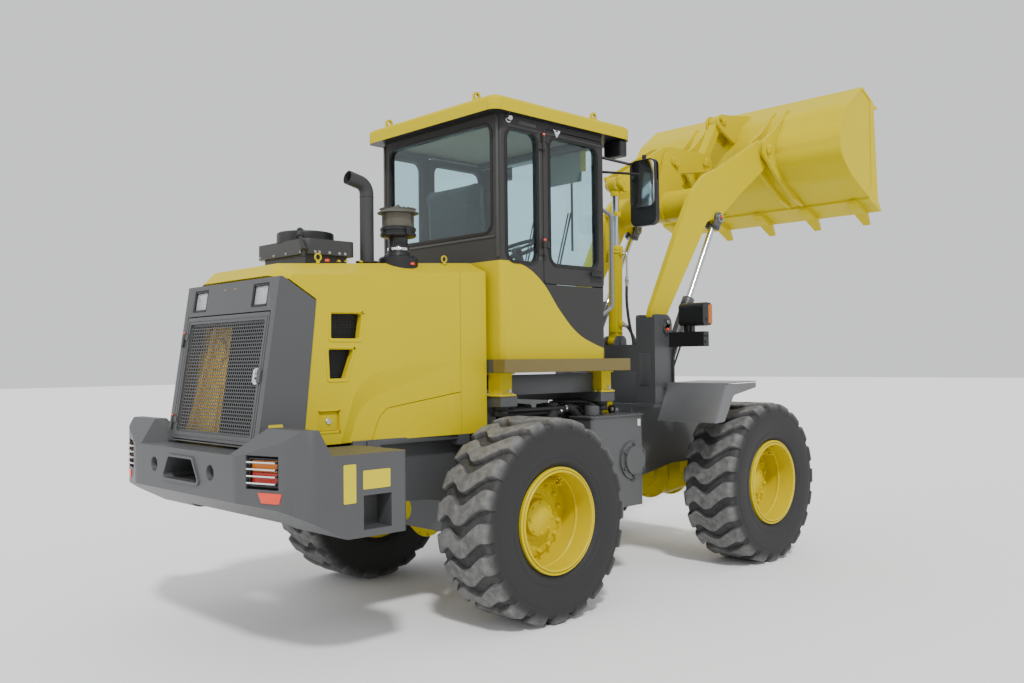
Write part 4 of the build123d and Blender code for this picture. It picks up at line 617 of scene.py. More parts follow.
# ---------------- hood
# Pressed steel shell in the machine's yellow gloss. Each vent has a raised rim and black wire mesh behind
# it, and a square pocket near the counterweight holds the screwed plate of the latch.
VENTS = (((-1059, 1615), (-880, 1618), (-898, 1494), (-1060, 1494)),
         ((-1075, 1440), (-929, 1440), (-982, 1298), (-1068, 1298)))
VENT_RIM, WIRE_STEP, WIRE_HALF, WIRE_Y = 17, 9, 1.3, 425
dress(machine_yellow, "engine_hood")
rounded(0.005, "engine_hood", angle=22)
rims, wires, latches, keys = (bmesh.new() for _ in range(4))
for side in (1, -1):
    for vent in VENTS:
        middle_x, middle_z = (sum(axis) / 4 for axis in zip(*vent))
        outline = [(x + math.copysign(VENT_RIM, x - middle_x), z + math.copysign(VENT_RIM, z - middle_z))
                   for x, z in vent]
        plate(rims, outline, "Y", side * 457, side * 463.5, 14, 1.6, 13)
        (low_x, high_x), (low_z, high_z) = ((min(axis) - 8, max(axis) + 8) for axis in zip(*vent))
        for step in range(int((high_x - low_x) / WIRE_STEP) + 1):
            x = low_x + step * WIRE_STEP
            block(wires, (x - WIRE_HALF, side * WIRE_Y - WIRE_HALF, low_z),
                  (x + WIRE_HALF, side * WIRE_Y + WIRE_HALF, high_z))
        for step in range(int((high_z - low_z) / WIRE_STEP) + 1):
            z = low_z + step * WIRE_STEP
            block(wires, (low_x, side * WIRE_Y - 3, z - WIRE_HALF),
                  (high_x, side * WIRE_Y - 0.4, z + WIRE_HALF))
    plate(latches, rect(-1126, 1048, -1021, 1136), "Y", side * 446, side * 449, 5, 0.6)
    plate(latches, rect(-1141, 1033, -1006, 1151), "Y", side * 458, side * 462.5, 8, 1.2, 10)
    for x in (-1134, -1013):
        for z in (1040, 1144):
            screw(latches, (x, side * 461, z), (0, side, 0), 0.6)
    spun(keys, [(0, 0), (15, 0), (15, 4), (13, 6), (9, 6), (8, 3), (0, 3)],
         aimed((-1072, side * 449, 1092), (0, side, 0)), 28)
    block(keys, (-1074, side * 450.5 - 2, 1084), (-1070, side * 450.5 + 2, 1100))
made("vent_rims", rims, machine_yellow)
made("vent_wire", wires, black_plastic)
made("hood_latch_plates", latches, machine_yellow)
made("latch_keys", keys, zinc)

# Lifting eyes, red caps and screws on top of the hood.
EYE_ROWS = [(14, -3.5), (20, -3.5), (21, 0), (20, 3.5), (14, 3.5), (13, 0), (14, -3.5)]
cap_red = coated("cap_red", (0.72, 0.05, 0.012), 0.35, tone=0.1, grain=400, depth=0.05, clear=0.2)
eyes, caps, studs = (bmesh.new() for _ in range(3))
for x, y, z in ((-1040, -318, 1885), (-250, -350, 1925)):
    spun(eyes, EYE_ROWS, aimed((x, y, z + 17), (0, 1, 0)), 28)
    rod(eyes, (x, y, z - 14), (x, y, z + 1), 9, 16)
for x, y, z in ((-975, -300, 1886), (-512, -402, 1890)):
    rod(caps, (x, y, z), (x, y, z + 12), 14, 18, 11)
for x, y, z in ((-905, -300, 1890), (-860, -300, 1892), (-770, -300, 1896), (-455, -360, 1904),
                (-430, -315, 1916)):
    screw(studs, (x, y, z), (0, -0.25, 1), 1.2)
made("hood_lifting_eyes", eyes, machine_yellow)
made("hood_red_caps", caps, cap_red)
made("hood_screws", studs, machine_yellow)

# ---------------- radiator housing and grille door
# Grey steel surround with a satin coat. The door holds a punched sheet with staggered hexagonal holes,
# a chrome latch and two hinges with red caps.
HOLE_PITCH, HOLE_RADIUS, SHEET, FOLD = 19.6, 8.3, -9, 2.2
ROW_PITCH = HOLE_PITCH * math.sqrt(3) / 2
SHEET_LEFT, SHEET_RIGHT, SHEET_FOOT, SHEET_HEIGHT, COLUMNS = -366, 376, 62, 556, 38
housing_grey = coated("housing_grey_paint", (0.066, 0.067, 0.068), 0.4, tone=0.08, depth=0.04,
                      clear=0.15)
dress(housing_grey, "radiator_housing", "grille_door")
rounded(0.004, "radiator_housing", angle=20)
rounded(0.002, "grille_door")


def punched(shape, across, up):
    """One cell of the sheet: a hexagonal hole in a hexagon of steel, so that cells meet edge to edge."""
    rings = [[shape.verts.new((across + second, up + first, height)) for first, second in circle(radius, 6)]
             for radius, height in ((HOLE_PITCH / math.sqrt(3), SHEET), (HOLE_RADIUS, SHEET),
                                    (HOLE_RADIUS, SHEET - FOLD))]
    for outer, inner in zip(rings, rings[1:]):
        for step in range(6):
            after = (step + 1) % 6
            shape.faces.new((outer[step], outer[after], inner[after], inner[step]))


mesh_sheet = bmesh.new()
for row in range(int(SHEET_HEIGHT / ROW_PITCH)):
    for column in range(COLUMNS):
        across = SHEET_LEFT + (column + row % 2 / 2) * HOLE_PITCH
        if across < SHEET_RIGHT:
            punched(mesh_sheet, across, SHEET_FOOT + row * ROW_PITCH)
made("grille_sheet", mesh_sheet, housing_grey, "grille_door", replaces=("grille_mesh",),
     place=SLOPE)
margin, latch, hinge_caps, plates = (bmesh.new() for _ in range(4))
plate(margin, rect(-386, 46, 386, 606), "Z", -14, -9, 12, 0.6, 14, SLOPE)
plate(margin, rect(-404, 28, 404, 624), "Z", -1, 2.5, 10, 1.2, 5, SLOPE)
made("grille_margin", margin, housing_grey, "grille_door")
plate(latch, rect(345, 296, 398, 374), "Z", -3, 3, 20, 1.5, 0, SLOPE)
rod(latch, at(SLOPE, 372, 335, 2), at(SLOPE, 372, 335, 12), 17, 28, 14)
block(latch, (364, 306, 10), (380, 364, 17), 4, SLOPE)
for up in (306, 364):
    screw(latch, at(SLOPE, 352, up, 3), OUT_OF_SLOPE, 0.5)
made("grille_latch", latch, chrome, "grille_door")
for up in (126, 556):
    rod(hinge_caps, at(SLOPE, -433, up, 8), at(SLOPE, -433, up + 8, 8), 7.5, 18, 5)
made("grille_hinge_caps", hinge_caps, cap_red, "grille_door")
for across in (-60, -45, 45, 60):
    rod(plates, at(SLOPE, across, 770, -1), at(SLOPE, across, 770, 1), 2.5, 12)
for side in (1, -1):
    plate(plates, rect(-1405, 1003, -1330, 1092), "Y", side * 465, side * 467.5, 6)
made("housing_plates", plates, plain_yellow)

# ---------------- exhaust
# Steel pipe under heat-proof matt paint. A weld runs round it below the mouth.
EXHAUST_X, EXHAUST_Y = -680, -228
exhaust_paint = coated("exhaust_paint", (0.035, 0.035, 0.036), 0.6, tone=0.25, grain=320, depth=0.2)
dress(exhaust_paint, "exhaust_stack")
seam = bmesh.new()
spun(seam, [(36, -3), (38.6, -1.5), (38.6, 1.5), (36, 3), (36, -3)], shift(EXHAUST_X, EXHAUST_Y, 2254), 56)
spun(seam, [(36, -9), (42, -9), (42, -4), (60, -4), (60, 3), (36, 3)], shift(EXHAUST_X, EXHAUST_Y, 1908))
made("exhaust_seam", seam, exhaust_paint)

# ---------------- air precleaner
# Moulded dome on a smoked, ribbed bowl. A band with a latch clamps them on a black neck, and a worm
# clamp holds the neck on its flanged foot.
CLEANER = shift(-523, -294, 0)
dome_olive = coated("dome_olive", (0.075, 0.073, 0.06), 0.5, tone=0.15, grain=500, depth=0.08)
dome = turned([(0, 2222), (7, 2222), (9, 2218), (9, 2212), (24, 2210), (62, 2200), (96, 2184), (110, 2177),
               (111, 2172), (104, 2171), (92, 2176), (0, 2180)], 72)
for step in range(24):
    block(dome, (58, -1.5, 2194), (100, 1.5, 2199), 0, turn(step * math.tau / 24))
made("precleaner_dome", dome, dome_olive, replaces=("air_precleaner",), place=CLEANER)
smoked = plain("smoked_bowl", {"Base Color": (0.12, 0.11, 0.085, 1), "Roughness": 0.16, "Alpha": 0.82})
bowl = turned(band(80, 84, 2092, 2176), 72)
for step in range(48):
    block(bowl, (83, -1.4, 2098), (86, 1.4, 2172), 0, turn(step * math.tau / 48))
made("precleaner_bowl", bowl, smoked, place=CLEANER)
neck = turned([(0, 2150), (60, 2150), (64, 2100), (90, 2098), (96, 2092), (97, 2080), (92, 2076), (92, 2066),
               (97, 2062), (97, 2050), (90, 2044), (56, 2040), (52, 2034), (52, 1990), (56, 1984), (56, 1962),
               (0, 1962)], 72)
for angle in (1.9, 4.6):
    block(neck, (94, -11, 2052), (108, 11, 2092), 3, turn(angle))
spun(neck, [(0, 1870), (106, 1870), (106, 1926), (98, 1936), (74, 1942), (60, 1966), (0, 1966)])
for x, y in circle(86, 6):
    screw(neck, (x, y, 1938), (0, 0, 1))
made("precleaner_neck", neck, black_plastic, place=CLEANER)
clamp = turned(band(56, 59, 1972, 1986))
block(clamp, (-66, -14, 1970), (-56, 14, 1988), 3)
rod(clamp, (-64, -22, 1979), (-64, 22, 1979), 5, 12)
made("precleaner_clamp", clamp, chrome, place=CLEANER @ turn(0.9))

# ---------------- condenser
# Folded grey sheet over the coil, screwed along its lower edge, with a black moulded fan shroud.
FAN_X, SHEET_SCREW_Z = -914, 1938
condenser_paint = coated("condenser_paint", (0.035, 0.035, 0.036), 0.42, tone=0.1, depth=0.04,
                         clear=0.1)
dress(condenser_paint, "condenser")
rounded(0.012, "condenser")
shroud = turned([(0, 2052), (34, 2052), (38, 2060), (52, 2061), (56, 2052), (60, 2040), (118, 2036),
                 (132, 2056), (140, 2062), (147, 2058), (149, 2050), (149, 2006), (156, 2005), (156, 1999),
                 (0, 1999)], 72)
for step in range(4):
    block(shroud, (40, -6, 2046), (138, 6, 2056), 2, turn(step * math.tau / 4 + 0.5))
made("condenser_shroud", shroud, black_plastic, place=shift(FAN_X, 0, 1))
side_screws = bmesh.new()
for x in (-1010, -985, -925, -865, -830):
    for side in (1, -1):
        screw(side_screws, (x, side * 246, SHEET_SCREW_Z), (0, side, 0), 0.8)
for y in (-200, -60, 60, 200):
    screw(side_screws, (-1067, y, SHEET_SCREW_Z), (-1, 0, 0), 0.8)
made("condenser_screws", side_screws, zinc)

# ---------------- tanks
# Welded grey tanks. The lid stands on a flange; a round screwed cover closes the suction side, and a
# breather and filler stand on the lid.
COVER_CENTRE_X, COVER_CENTRE_Z, FLANGE_TOP = 1040, 750, 1036
dress(housing_grey, "hydraulic_tank", "fuel_tank")
rounded(0.002, "hydraulic_tank", "fuel_tank")
tank_trim, labels = bmesh.new(), bmesh.new()
for side in (1, -1):
    plate(tank_trim, rect(655, side * 415, 1160, side * 630), "Z", FLANGE_TOP - 10, FLANGE_TOP, 26, 2)
    for x in (700, 800, 905, 1010, 1115):
        for y in (434, 612):
            screw(tank_trim, (x, side * y, FLANGE_TOP), (0, 0, 1))
    spun(tank_trim, [(0, 1100), (30, 1098), (44, 1092), (46, 1080), (46, 1040), (40, 1034)],
         shift(790, side * 510, 0), 32)
for off, z in circle(102, 6, 0.5):
    screw(tank_trim, (COVER_CENTRE_X + off, -640, COVER_CENTRE_Z + z), (0, -1, 0), 1.1)
block(tank_trim, (COVER_CENTRE_X - 10, -632, 622), (COVER_CENTRE_X + 10, -620, 640), 2)
made("tank_trim", tank_trim, housing_grey)
bare = coated("bare_plate", (0.62, 0.62, 0.6), 0.5, tone=0.08, grain=300, depth=0.02)
plate(labels, rect(1098, 960, 1124, 1002), "Y", -622, -620, 3)
made("tank_plate", labels, bare)

# ---------------- under the cab
# Valve block, pumps, filter and pipes between the rails: black, with a yellow bracket that holds a
# round gauge. Grey plates close the frame under the cab's and the hood's sills.
GAUGE_X, GAUGE_Z, BRACKET_FACE = 1060, 1062, -432
under_cab, bracket, nut, sills = (bmesh.new() for _ in range(4))
for low, high, bevel in (((560, -400, 1015), (800, -250, 1110), 8), ((600, 180, 1015), (760, 330, 1105), 8),
                         ((890, -395, 1050), (960, -330, 1105), 6)):
    block(under_cab, low, high, bevel)
for start, end, radius, sides in (
        ((500, -430, 1000), (500, -430, 1110), 44, 32), ((500, -430, 1108), (500, -430, 1122), 50, 32),
        *(((x, -330, 1108), (x, -330, 1128), 15, 16) for x in (620, 680, 740)),
        *(((300, y, 1060), (620, y, 1060), 22, 20) for y in (-380, -300, 220, 320)),
        *(((800, y, 1075), (980, y, 1060), 20, 20) for y in (-380, -300, 220, 320)),
        ((90, -470, 1092), (690, -470, 1092), 11, 16), ((90, -440, 1068), (690, -440, 1068), 11, 16)):
    rod(under_cab, start, end, radius, sides)
made("valves_under_cab", under_cab, engine_black)
block(bracket, (985, BRACKET_FACE, 1034), (1080, -426, 1118), 2)
block(bracket, (985, BRACKET_FACE, 1106), (1080, -380, 1118), 3)
made("gauge_bracket", bracket, machine_yellow)
made("gauge_ring", turned([(0, 0), (27, 0), (27, 20), (18, 20), (16, 9), (0, 9)], 28), black_plastic,
     place=aimed((GAUGE_X, BRACKET_FACE, GAUGE_Z), (0, -1, 0)))
rod(nut, (GAUGE_X, BRACKET_FACE - 8, GAUGE_Z), (GAUGE_X, BRACKET_FACE - 18, GAUGE_Z), 12, 6)
made("gauge_nut", nut, zinc)
for side in (1, -1):
    block(sills, (-930, side * 436 - 14, 955), (-240, side * 436 + 14, 986), 2)
    block(sills, (130, side * 470 - 8, 1180), (840, side * 470 + 8, 1296), 3)
made("sill_plates", sills, frame_grey)

# ---------------- cab mounts and floor
# Yellow feet on flanges, each on a black rubber block in a steel cup. The boards beside the floor are
# folded from bronze-olive sheet.
MOUNT_Y, FLANGE_LOW, FLANGE_HIGH = 490, 1188, 1300
RUBBER_ROWS = [(0, 1064), (40, 1064), (44, 1070), (44, 1090), (38, 1096), (44, 1102), (44, 1118), (0, 1119)]
dress(machine_yellow, "cab_mounts")
dress(frame_grey, "cab_floor_frame")
board_olive = coated("board_olive", (0.15, 0.113, 0.03), 0.5, tone=0.1, clear=0.1)
dress(board_olive, "running_boards")
rounded(0.003, "cab_mounts", "running_boards")
flanges, rubbers, mount_screws = (bmesh.new() for _ in range(3))
for x in (35, 895):
    for side in (1, -1):
        y = side * MOUNT_Y
        block(flanges, (x - 62, y - 66, FLANGE_LOW - 10), (x + 62, y + 66, FLANGE_LOW), 2)
        block(flanges, (x - 58, y - 60, FLANGE_HIGH), (x + 58, y + 60, FLANGE_HIGH + 11), 2)
        spun(rubbers, RUBBER_ROWS, shift(x, y, 0), 32)
        for tip_x, tip_y in ((-48, -52), (48, -52), (-48, 52), (48, 52)):
            screw(mount_screws, (x + tip_x, y + tip_y, FLANGE_LOW), (0, 0, 1))
        screw(mount_screws, (x + 20, side * 540, 1206), (0, side, 0), 1.4)
made("mount_flanges", flanges, machine_yellow)
made("mount_rubbers", rubbers, engine_black)
made("mount_screws", mount_screws, zinc)

# ---------------- cab shell and doors
# One sprayed coat in two colours: grey above, and yellow below a line that sweeps down towards the
# front. The line is given as (metres ahead of the rear axle, height).
SWEEP = ((-0.1, 1.94), (0.0, 1.94), (0.16, 1.925), (0.33, 1.83), (0.48, 1.665), (0.62, 1.545), (0.78, 1.475),
         (0.92, 1.44))
SWEEP_TOP, BLEND_HALF, CAB_GREY, CAB_SIDE = 3.0, 0.0008, (0.045, 0.044, 0.043), 545
cab_paint = coated("cab_two_tone", YELLOW, 0.36, tone=0.03, grain=300, depth=0.03, shine=0.1)
tree = cab_paint.node_tree
where = put(tree, "ShaderNodeSeparateXYZ", {0: placed(tree)}).outputs
along = put(tree, "ShaderNodeMapRange", {"Value": where["X"], "From Min": REAR_AXLE_X + SWEEP[0][0],
                                         "From Max": REAR_AXLE_X + SWEEP[-1][0]})
line = put(tree, "ShaderNodeFloatCurve", {"Value": along})
curve = line.mapping.curves[0].points
spots = [((x - SWEEP[0][0]) / (SWEEP[-1][0] - SWEEP[0][0]), height / SWEEP_TOP) for x, height in SWEEP]
curve[0].location, curve[1].location = spots[0], spots[-1]
for spot in spots[1:-1]:
    curve.new(*spot)
line.mapping.update()
lift = put(tree, "ShaderNodeMath", {0: line, 1: -SWEEP_TOP, 2: where["Z"]}, operation="MULTIPLY_ADD")
second_colour(cab_paint, put(tree, "ShaderNodeMapRange", {"Value": lift, "From Min": -BLEND_HALF,
                                                          "From Max": BLEND_HALF}), CAB_GREY)
dress(cab_paint, "cab_shell", "right_door", "left_door")
rounded(0.003, "cab_shell")
rounded(0.0015, "right_door", "left_door")
cab_grey = coated("cab_grey_paint", CAB_GREY, 0.42, tone=0.08, depth=0.04, clear=0.15)
# pressed ribs beside the doors, the wall behind the seat and a plate over each door
cab_ribs = bmesh.new()
for side in (1, -1):
    face = side * CAB_SIDE
    block(cab_ribs, (302, face - 1, 1960), (322, face + 5, 2700), 2)
    block(cab_ribs, (60, face - 1, 2700), (880, face + 6, 2712), 2)
    block(cab_ribs, (150, face - 1, 2724), (290, face + 4, 2756), 2)
    block(cab_ribs, (-7, side * 524 - 9, 1960), (1, side * 524 + 9, 2755), 3)
block(cab_ribs, (-5, -500, 2070), (1, 500, 2082), 2)
made("cab_ribs", cab_ribs, cab_grey)

# Rubber seals round the panes, proud of the paint, with a narrow locking strip.
CAB_FRONT, CAB_BACK = 900, 0
SEALS = {
    "rear_chassis": (("Y", -1, (49, 1940, 295, 2685)), ("Y", 1, (49, 1940, 295, 2685)),
                     ("X", -1, (-470, 2105, 470, 2715)), ("X", 1, (-465, 1700, 465, 2715))),
    "right_door": (("Y", -1, (400, 1940, 822, 2685)),),
    "left_door": (("Y", 1, (400, 1940, 822, 2685)), ("Y", 1, (400, 1540, 822, 1860))),
}
seal_rubber = coated("seal_rubber", (0.014, 0.014, 0.014), 0.5, tone=0.15, grain=500)
for body, rows in SEALS.items():
    strips = bmesh.new()
    for across, side, opening in rows:
        face = side * CAB_SIDE if across == "Y" else (CAB_FRONT if side > 0 else CAB_BACK)
        for reach, inner, outer, sizes in ((14, -20, 5, (70, 2.5, 19)), (5, 3, 8, (62, 1.2, 4))):
            outline = rect(*(edge + way * reach for edge, way in zip(opening, (-1, -1, 1, 1))))
            plate(strips, outline, across, face + side * inner, face + side * outer, *sizes)
    made(f"{body}_seals", strips, seal_rubber, body)

# Tinted panes, 6 mm thick.
pane = plain("cab_pane", {"Base Color": (0.7, 0.9, 0.94, 1), "Roughness": 0.02, "Transmission Weight": 1.0,
                          "IOR": 1.45})
dress(pane, "cab_glass", "left_door_glass", "right_door_glass")

# Door furniture: red caps on the hinge pins, black levers, small lamp and bracket on the right side.
HINGE_X, HANDLE_X, HANDLE_Z = 340, 830, 1900
for body, side in (("right_door", -1), ("left_door", 1)):
    caps, handle = bmesh.new(), bmesh.new()
    for z in (2030, 2645):
        rod(caps, (HINGE_X, side * 559, z + 41), (HINGE_X, side * 559, z + 54), 11, 20, 7)
    made(f"{body}_hinge_caps", caps, cap_red, body)
    spun(handle, [(0, 0), (24, 0), (24, 3), (18, 8), (18, 24), (0, 26)],
         aimed((HANDLE_X, side * CAB_SIDE, HANDLE_Z), (0, side, 0)), 32)
    block(handle, (HANDLE_X - 99, side * 561, HANDLE_Z - 13), (HANDLE_X + 16, side * 575, HANDLE_Z + 13), 5)
    for z in (2040, 2058, 2656, 2674):
        screw(handle, (364, side * 556, z), (0, side, 0), 0.5)
    made(f"{body}_handle", handle, black_plastic, body)
LAMP_SPOT = (62, -CAB_SIDE, 2738)
small_lamp, bracket = bmesh.new(), bmesh.new()
spun(small_lamp, [(0, 0), (15, 0), (17, 6), (17, 26), (13, 34), (0, 36)],
     aimed(LAMP_SPOT, (-0.25, -1, 0)), 28)
rod(small_lamp, LAMP_SPOT, (62, -CAB_SIDE - 7, 2738), 21, 24)
made("side_lamp", small_lamp, chrome)
plate(bracket, [(425, 2742), (495, 2742), (480, 2722), (462, 2694), (452, 2694), (440, 2722)], "Y",
      -552, -546, 4, 1)
rod(bracket, (460, -548, 2726), (460, -566, 2722), 9, 18)
made("side_bracket", bracket, chrome)

# ---------------- cab inside
# Beige headliner of needled felt, dark console and wheel, a grey-green sun visor with a yellow edge, and
# two wipers outside the windscreen.
headliner_felt = coated("headliner_felt", (0.4, 0.36, 0.25), 0.9, tone=0.15, grain=900, depth=0.5)
visor_green = coated("visor_green", (0.25, 0.3, 0.25), 0.4, tone=0.05, grain=300, depth=0.02)
WIPER_X, WIPER_Z, WIPER_LEAN = 907, 1720, 190
lining, visor, visor_edge, inside = (bmesh.new() for _ in range(4))
block(lining, (42, -502, 2744), (858, 502, 2762), 4)
made("headliner", lining, headliner_felt)
plate(visor, rect(-410, 2500, -130, 2700), "X", 826, 832, 10, 1)
made("sun_visor", visor, visor_green)
block(visor_edge, (823, -445, 2560), (835, -408, 2716), 4)
made("visor_edge", visor_edge, plain_yellow)
block(inside, (792, -180, 1880), (854, 180, 2010), 26)
block(inside, (700, -90, 1890), (790, 90, 1960), 22)
block(inside, (780, -500, 2690), (850, 500, 2745), 14)
for y in (-290, 270):
    block(inside, (250, y - 40, 1560), (640, y + 40, 1790), 24)
    rod(inside, (560, y, 1780), (600, y, 1925), 8, 14)
    spun(inside, [(0, 0), (14, 4), (21, 22), (18, 40), (0, 48)], aimed((600, y, 1915), (0.3, 0, 1)), 20)
for y in (-60, 250):
    for arm_y, radius in ((y, 6), (y + 24, 5)):
        rod(inside, (WIPER_X, arm_y, WIPER_Z), (WIPER_X, arm_y - WIPER_LEAN, 2330), radius, 12)
    block(inside, (WIPER_X - 4, y - WIPER_LEAN - 14, 2080), (WIPER_X + 7, y - WIPER_LEAN, 2560), 3)
    rod(inside, (900, y, 1716), (918, y, 1716), 18, 20)
made("dash_and_wipers", inside, black_plastic)
dress(black_plastic, "steering_column", "seat_base")

# ---------------- seat
# Black woven cover over foam. The cushion and backrest are blown up from their plain solids as cloth.
CLOTH_CELL, LAST_FRAME = 0.006, 20
seat_fabric = coated("seat_fabric", (0.03, 0.031, 0.034), 0.85, tone=0.2, grain=1400, depth=0.6)
shade(seat_fabric, {"Sheen Weight": 0.25})


def blown(name, limit):
    """Swell a plain solid as a sealed cloth cover over foam, moved no further than the limit."""
    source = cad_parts[name]
    data = source.data.copy()
    body = shown(f"{name}_cover", data)
    shape = bmesh.new()
    shape.from_mesh(data)
    bmesh.ops.remove_doubles(shape, verts=shape.verts, dist=0.00005)
    bmesh.ops.transform(shape, matrix=source.matrix_world, verts=shape.verts)
    shape.to_mesh(data)
    shape.free()
    bpy.context.view_layer.objects.active = body
    remesh = body.modifiers.new("even", "REMESH")
    remesh.mode = "VOXEL"
    remesh.voxel_size = CLOTH_CELL
    bpy.ops.object.modifier_apply(modifier="even")
    rest = [vertex.co.copy() for vertex in data.vertices]
    cloth = body.modifiers.new("cover", "CLOTH")
    cloth.settings.quality = 5
    cloth.settings.use_pressure = True
    cloth.settings.uniform_pressure_force = 4.0
    cloth.settings.effector_weights.gravity = 0.0
    cloth.point_cache.frame_start = 1
    cloth.point_cache.frame_end = LAST_FRAME
    for moment in range(1, LAST_FRAME + 1):
        bpy.context.scene.frame_set(moment)
    bpy.ops.object.modifier_apply(modifier="cover")
    bpy.context.scene.frame_set(1)
    for vertex, start in zip(data.vertices, rest):
        move = vertex.co - start
        if move.length > limit:
            vertex.co = start + move * (limit / move.length)
    smooth = body.modifiers.new("smooth", "SUBSURF")
    smooth.levels = 1
    smooth.render_levels = 1
    data.materials.clear()
    data.materials.append(seat_fabric)
    for face in data.polygons:
        face.use_smooth = True
    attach(body, "rear_chassis")
    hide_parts(name)


blown("seat_cushion", 0.016)
blown("seat_backrest", 0.014)

# ---------------- roof
# Steel pan roof, yellow on top and round its rim, with painted shade that colours its downward faces near
# black.
STEEP_DOWN = -0.6
roof_yellow_and_painted_shade = coated("roof_paint", YELLOW, 0.36, tone=0.03, grain=300, depth=0.03, shine=0.1)
tree = roof_yellow_and_painted_shade.node_tree
facing = put(tree, "ShaderNodeSeparateXYZ", {0: put(tree, "ShaderNodeTexCoord").outputs["Normal"]})
# painted shade: faces whose normal points down more steeply than STEEP_DOWN take a near-black colour
second_colour(roof_yellow_and_painted_shade, put(tree, "ShaderNodeMath", {0: facing.outputs["Z"], 1: STEEP_DOWN},
                               operation="LESS_THAN"), (0.02, 0.02, 0.02))
dress(roof_yellow_and_painted_shade, "cab_roof")
rounded(0.004, "cab_roof", angle=50)

# ---------------- mirrors, rails and cab lamps
# Black tube arms and moulded mirror shells with bright glass; satin grey rails on screwed feet; work
# lamps under the front of the roof.
MIRROR_Y, CAB_LAMP_Y, RAIL_Y = 750, 520, 482
rail_grey = coated("rail_grey_paint", (0.16, 0.162, 0.165), 0.38, tone=0.1, grain=400, depth=0.04, clear=0.2)
dress(black_plastic, "mirrors", "cab_lamps")
dress(rail_grey, "handrails")
rounded(0.012, "cab_lamps")
glass_faces, backs, feet, dishes = (bmesh.new() for _ in range(4))
for side in (1, -1):
    y, lamp_y = side * MIRROR_Y, side * CAB_LAMP_Y
    plate(glass_faces, rect(y - 90, 2318, y + 90, 2602), "X", 1014.5, 1020, 38, 1)
    shell = rect(y - 98, 2310, y + 98, 2610)
    plate(backs, shell, "X", 1012, 1030, 44, 3, 9)
    plate(backs, shell, "X", 1046, 1054, 44, 4)
    rod(backs, (1035, y, 2600), (1035, y, 2640), 13, 20)
    block(backs, (1022, y - 20, 2430), (1050, y + 20, 2500), 6)
    for z in (2670, 2560):
        rod(backs, (905, side * 485, z - 16), (905, side * 485, z + 16), 13, 20)
    for z in (2320, 2350, 1630, 1660):
        screw(feet, (908, side * RAIL_Y, z), (1, 0, 0), 0.8)
    plate(dishes, rect(lamp_y - 60, 2672, lamp_y + 60, 2752), "X", 1066, 1074, 8, 2)
mirror_glass = coated("mirror_silver", (0.5, 0.52, 0.53), 0.12, metallic=1.0, tone=0.02, grain=20,
                      depth=0.002)
made("mirror_glasses", glass_faces, mirror_glass)
made("mirror_shells", backs, black_plastic)
made("rail_screws", feet, zinc)
made("work_lamp_lenses", dishes, clear_lens)

# ---------------- front towers and fenders
# Folded grey towers. Two-bolt plates keep the boom's and the lift cylinders' pins; fenders are bent
# sheet with the mill's sheen on them. A splash plate closes the gap under the cross box.
BOOM_FOOT, LIFT_FOOT, TOWER_FACE = (1622, 1603), (1625, 1156), 468
KEEPER_REACH, KEEPER_RADIUS, KEEPER_THICK = 25, 27, 9
fender_steel = coated("fender_paint", (0.1, 0.101, 0.103), 0.34, tone=0.35, grain=300, depth=0.05, clear=0.25)
dress(fender_steel, "front_fenders")
rounded(0.0015, "front_fenders")
keepers, keeper_nuts, keeper_caps, tower_trim = (bmesh.new() for _ in range(4))
for side in (1, -1):
    out = Vector((0, side, 0))
    for (x, z), angle in ((BOOM_FOOT, 1.25), (LIFT_FOOT, -1.45)):
        middle = Vector((x, side * TOWER_FACE, z))
        away = Vector((math.cos(angle), 0, math.sin(angle))) * KEEPER_REACH
        across = Vector((-math.sin(angle), 0, math.cos(angle))) * KEEPER_RADIUS
        for step in (-1, 1):
            rod(keepers, middle + away * step, middle + away * step + out * KEEPER_THICK, KEEPER_RADIUS, 32)
        corners = (away + across, across - away, -away - across, away - across)
        plate(keepers, [(x + corner.x, z + corner.z) for corner in corners], "Y", middle.y,
              middle.y + side * KEEPER_THICK)
        screw(keeper_nuts, middle + away + out * KEEPER_THICK, out, 1.8)
        rod(keeper_caps, middle - away + out * KEEPER_THICK, middle - away + out * 21, 12, 20, 9)
    plate(tower_trim, rect(1493, side * 296, 1692, side * 464), "Z", 1074, 1084, 4, 2)
    for x in (1560, 1640):
        screw(tower_trim, (x, side * 472, 1076), (0, 0, 1), 1.3)
    block(tower_trim, (1492, side * 330, 1200), (1496, side * 420, 1420), 1)
block(tower_trim, (1497, -299, 1077), (1507, 299, 1301), 1)
made("tower_pin_keepers", keepers, frame_grey, "front_chassis")
made("tower_keeper_nuts", keeper_nuts, zinc, "front_chassis")
made("tower_grease_caps", keeper_caps, cap_red, "front_chassis")
made("tower_trim", tower_trim, frame_grey, "front_chassis")

# ---------------- head lamps
# Black shells on a stamped bracket, with a ribbed head lamp lens in front and an amber turn lamp that
# goes round the outer corner.
dress(black_plastic, "front_lamps")
rounded(0.003, "front_lamps")
ambers, heads, lamp_trim = (bmesh.new() for _ in range(3))
for side in (1, -1):
    block(ambers, (1708, side * 668, 1608), (1763, side * 744, 1744), 10)
    block(heads, (1742, side * 556, 1610), (1762, side * 662, 1742), 10)
    block(lamp_trim, (1700, side * 548, 1597), (1712, side * 740, 1755), 4)
    rod(lamp_trim, (1690, side * 743, 1640), (1690, side * 746, 1640), 7, 16)
    rod(lamp_trim, (1685, side * 607, 1558), (1685, side * 607, 1604), 24, 24)
    for x, z in ((1675, 1530), (1700, 1530), (1675, 1490)):
        screw(lamp_trim, (x, side * 742, z), (0, side, 0), 0.9)
made("turn_lamp_lenses", ambers, amber_lens, "front_chassis")
made("head_lamp_lenses", heads, clear_lens, "front_chassis")
made("head_lamp_trim", lamp_trim, black_plastic, "front_chassis")

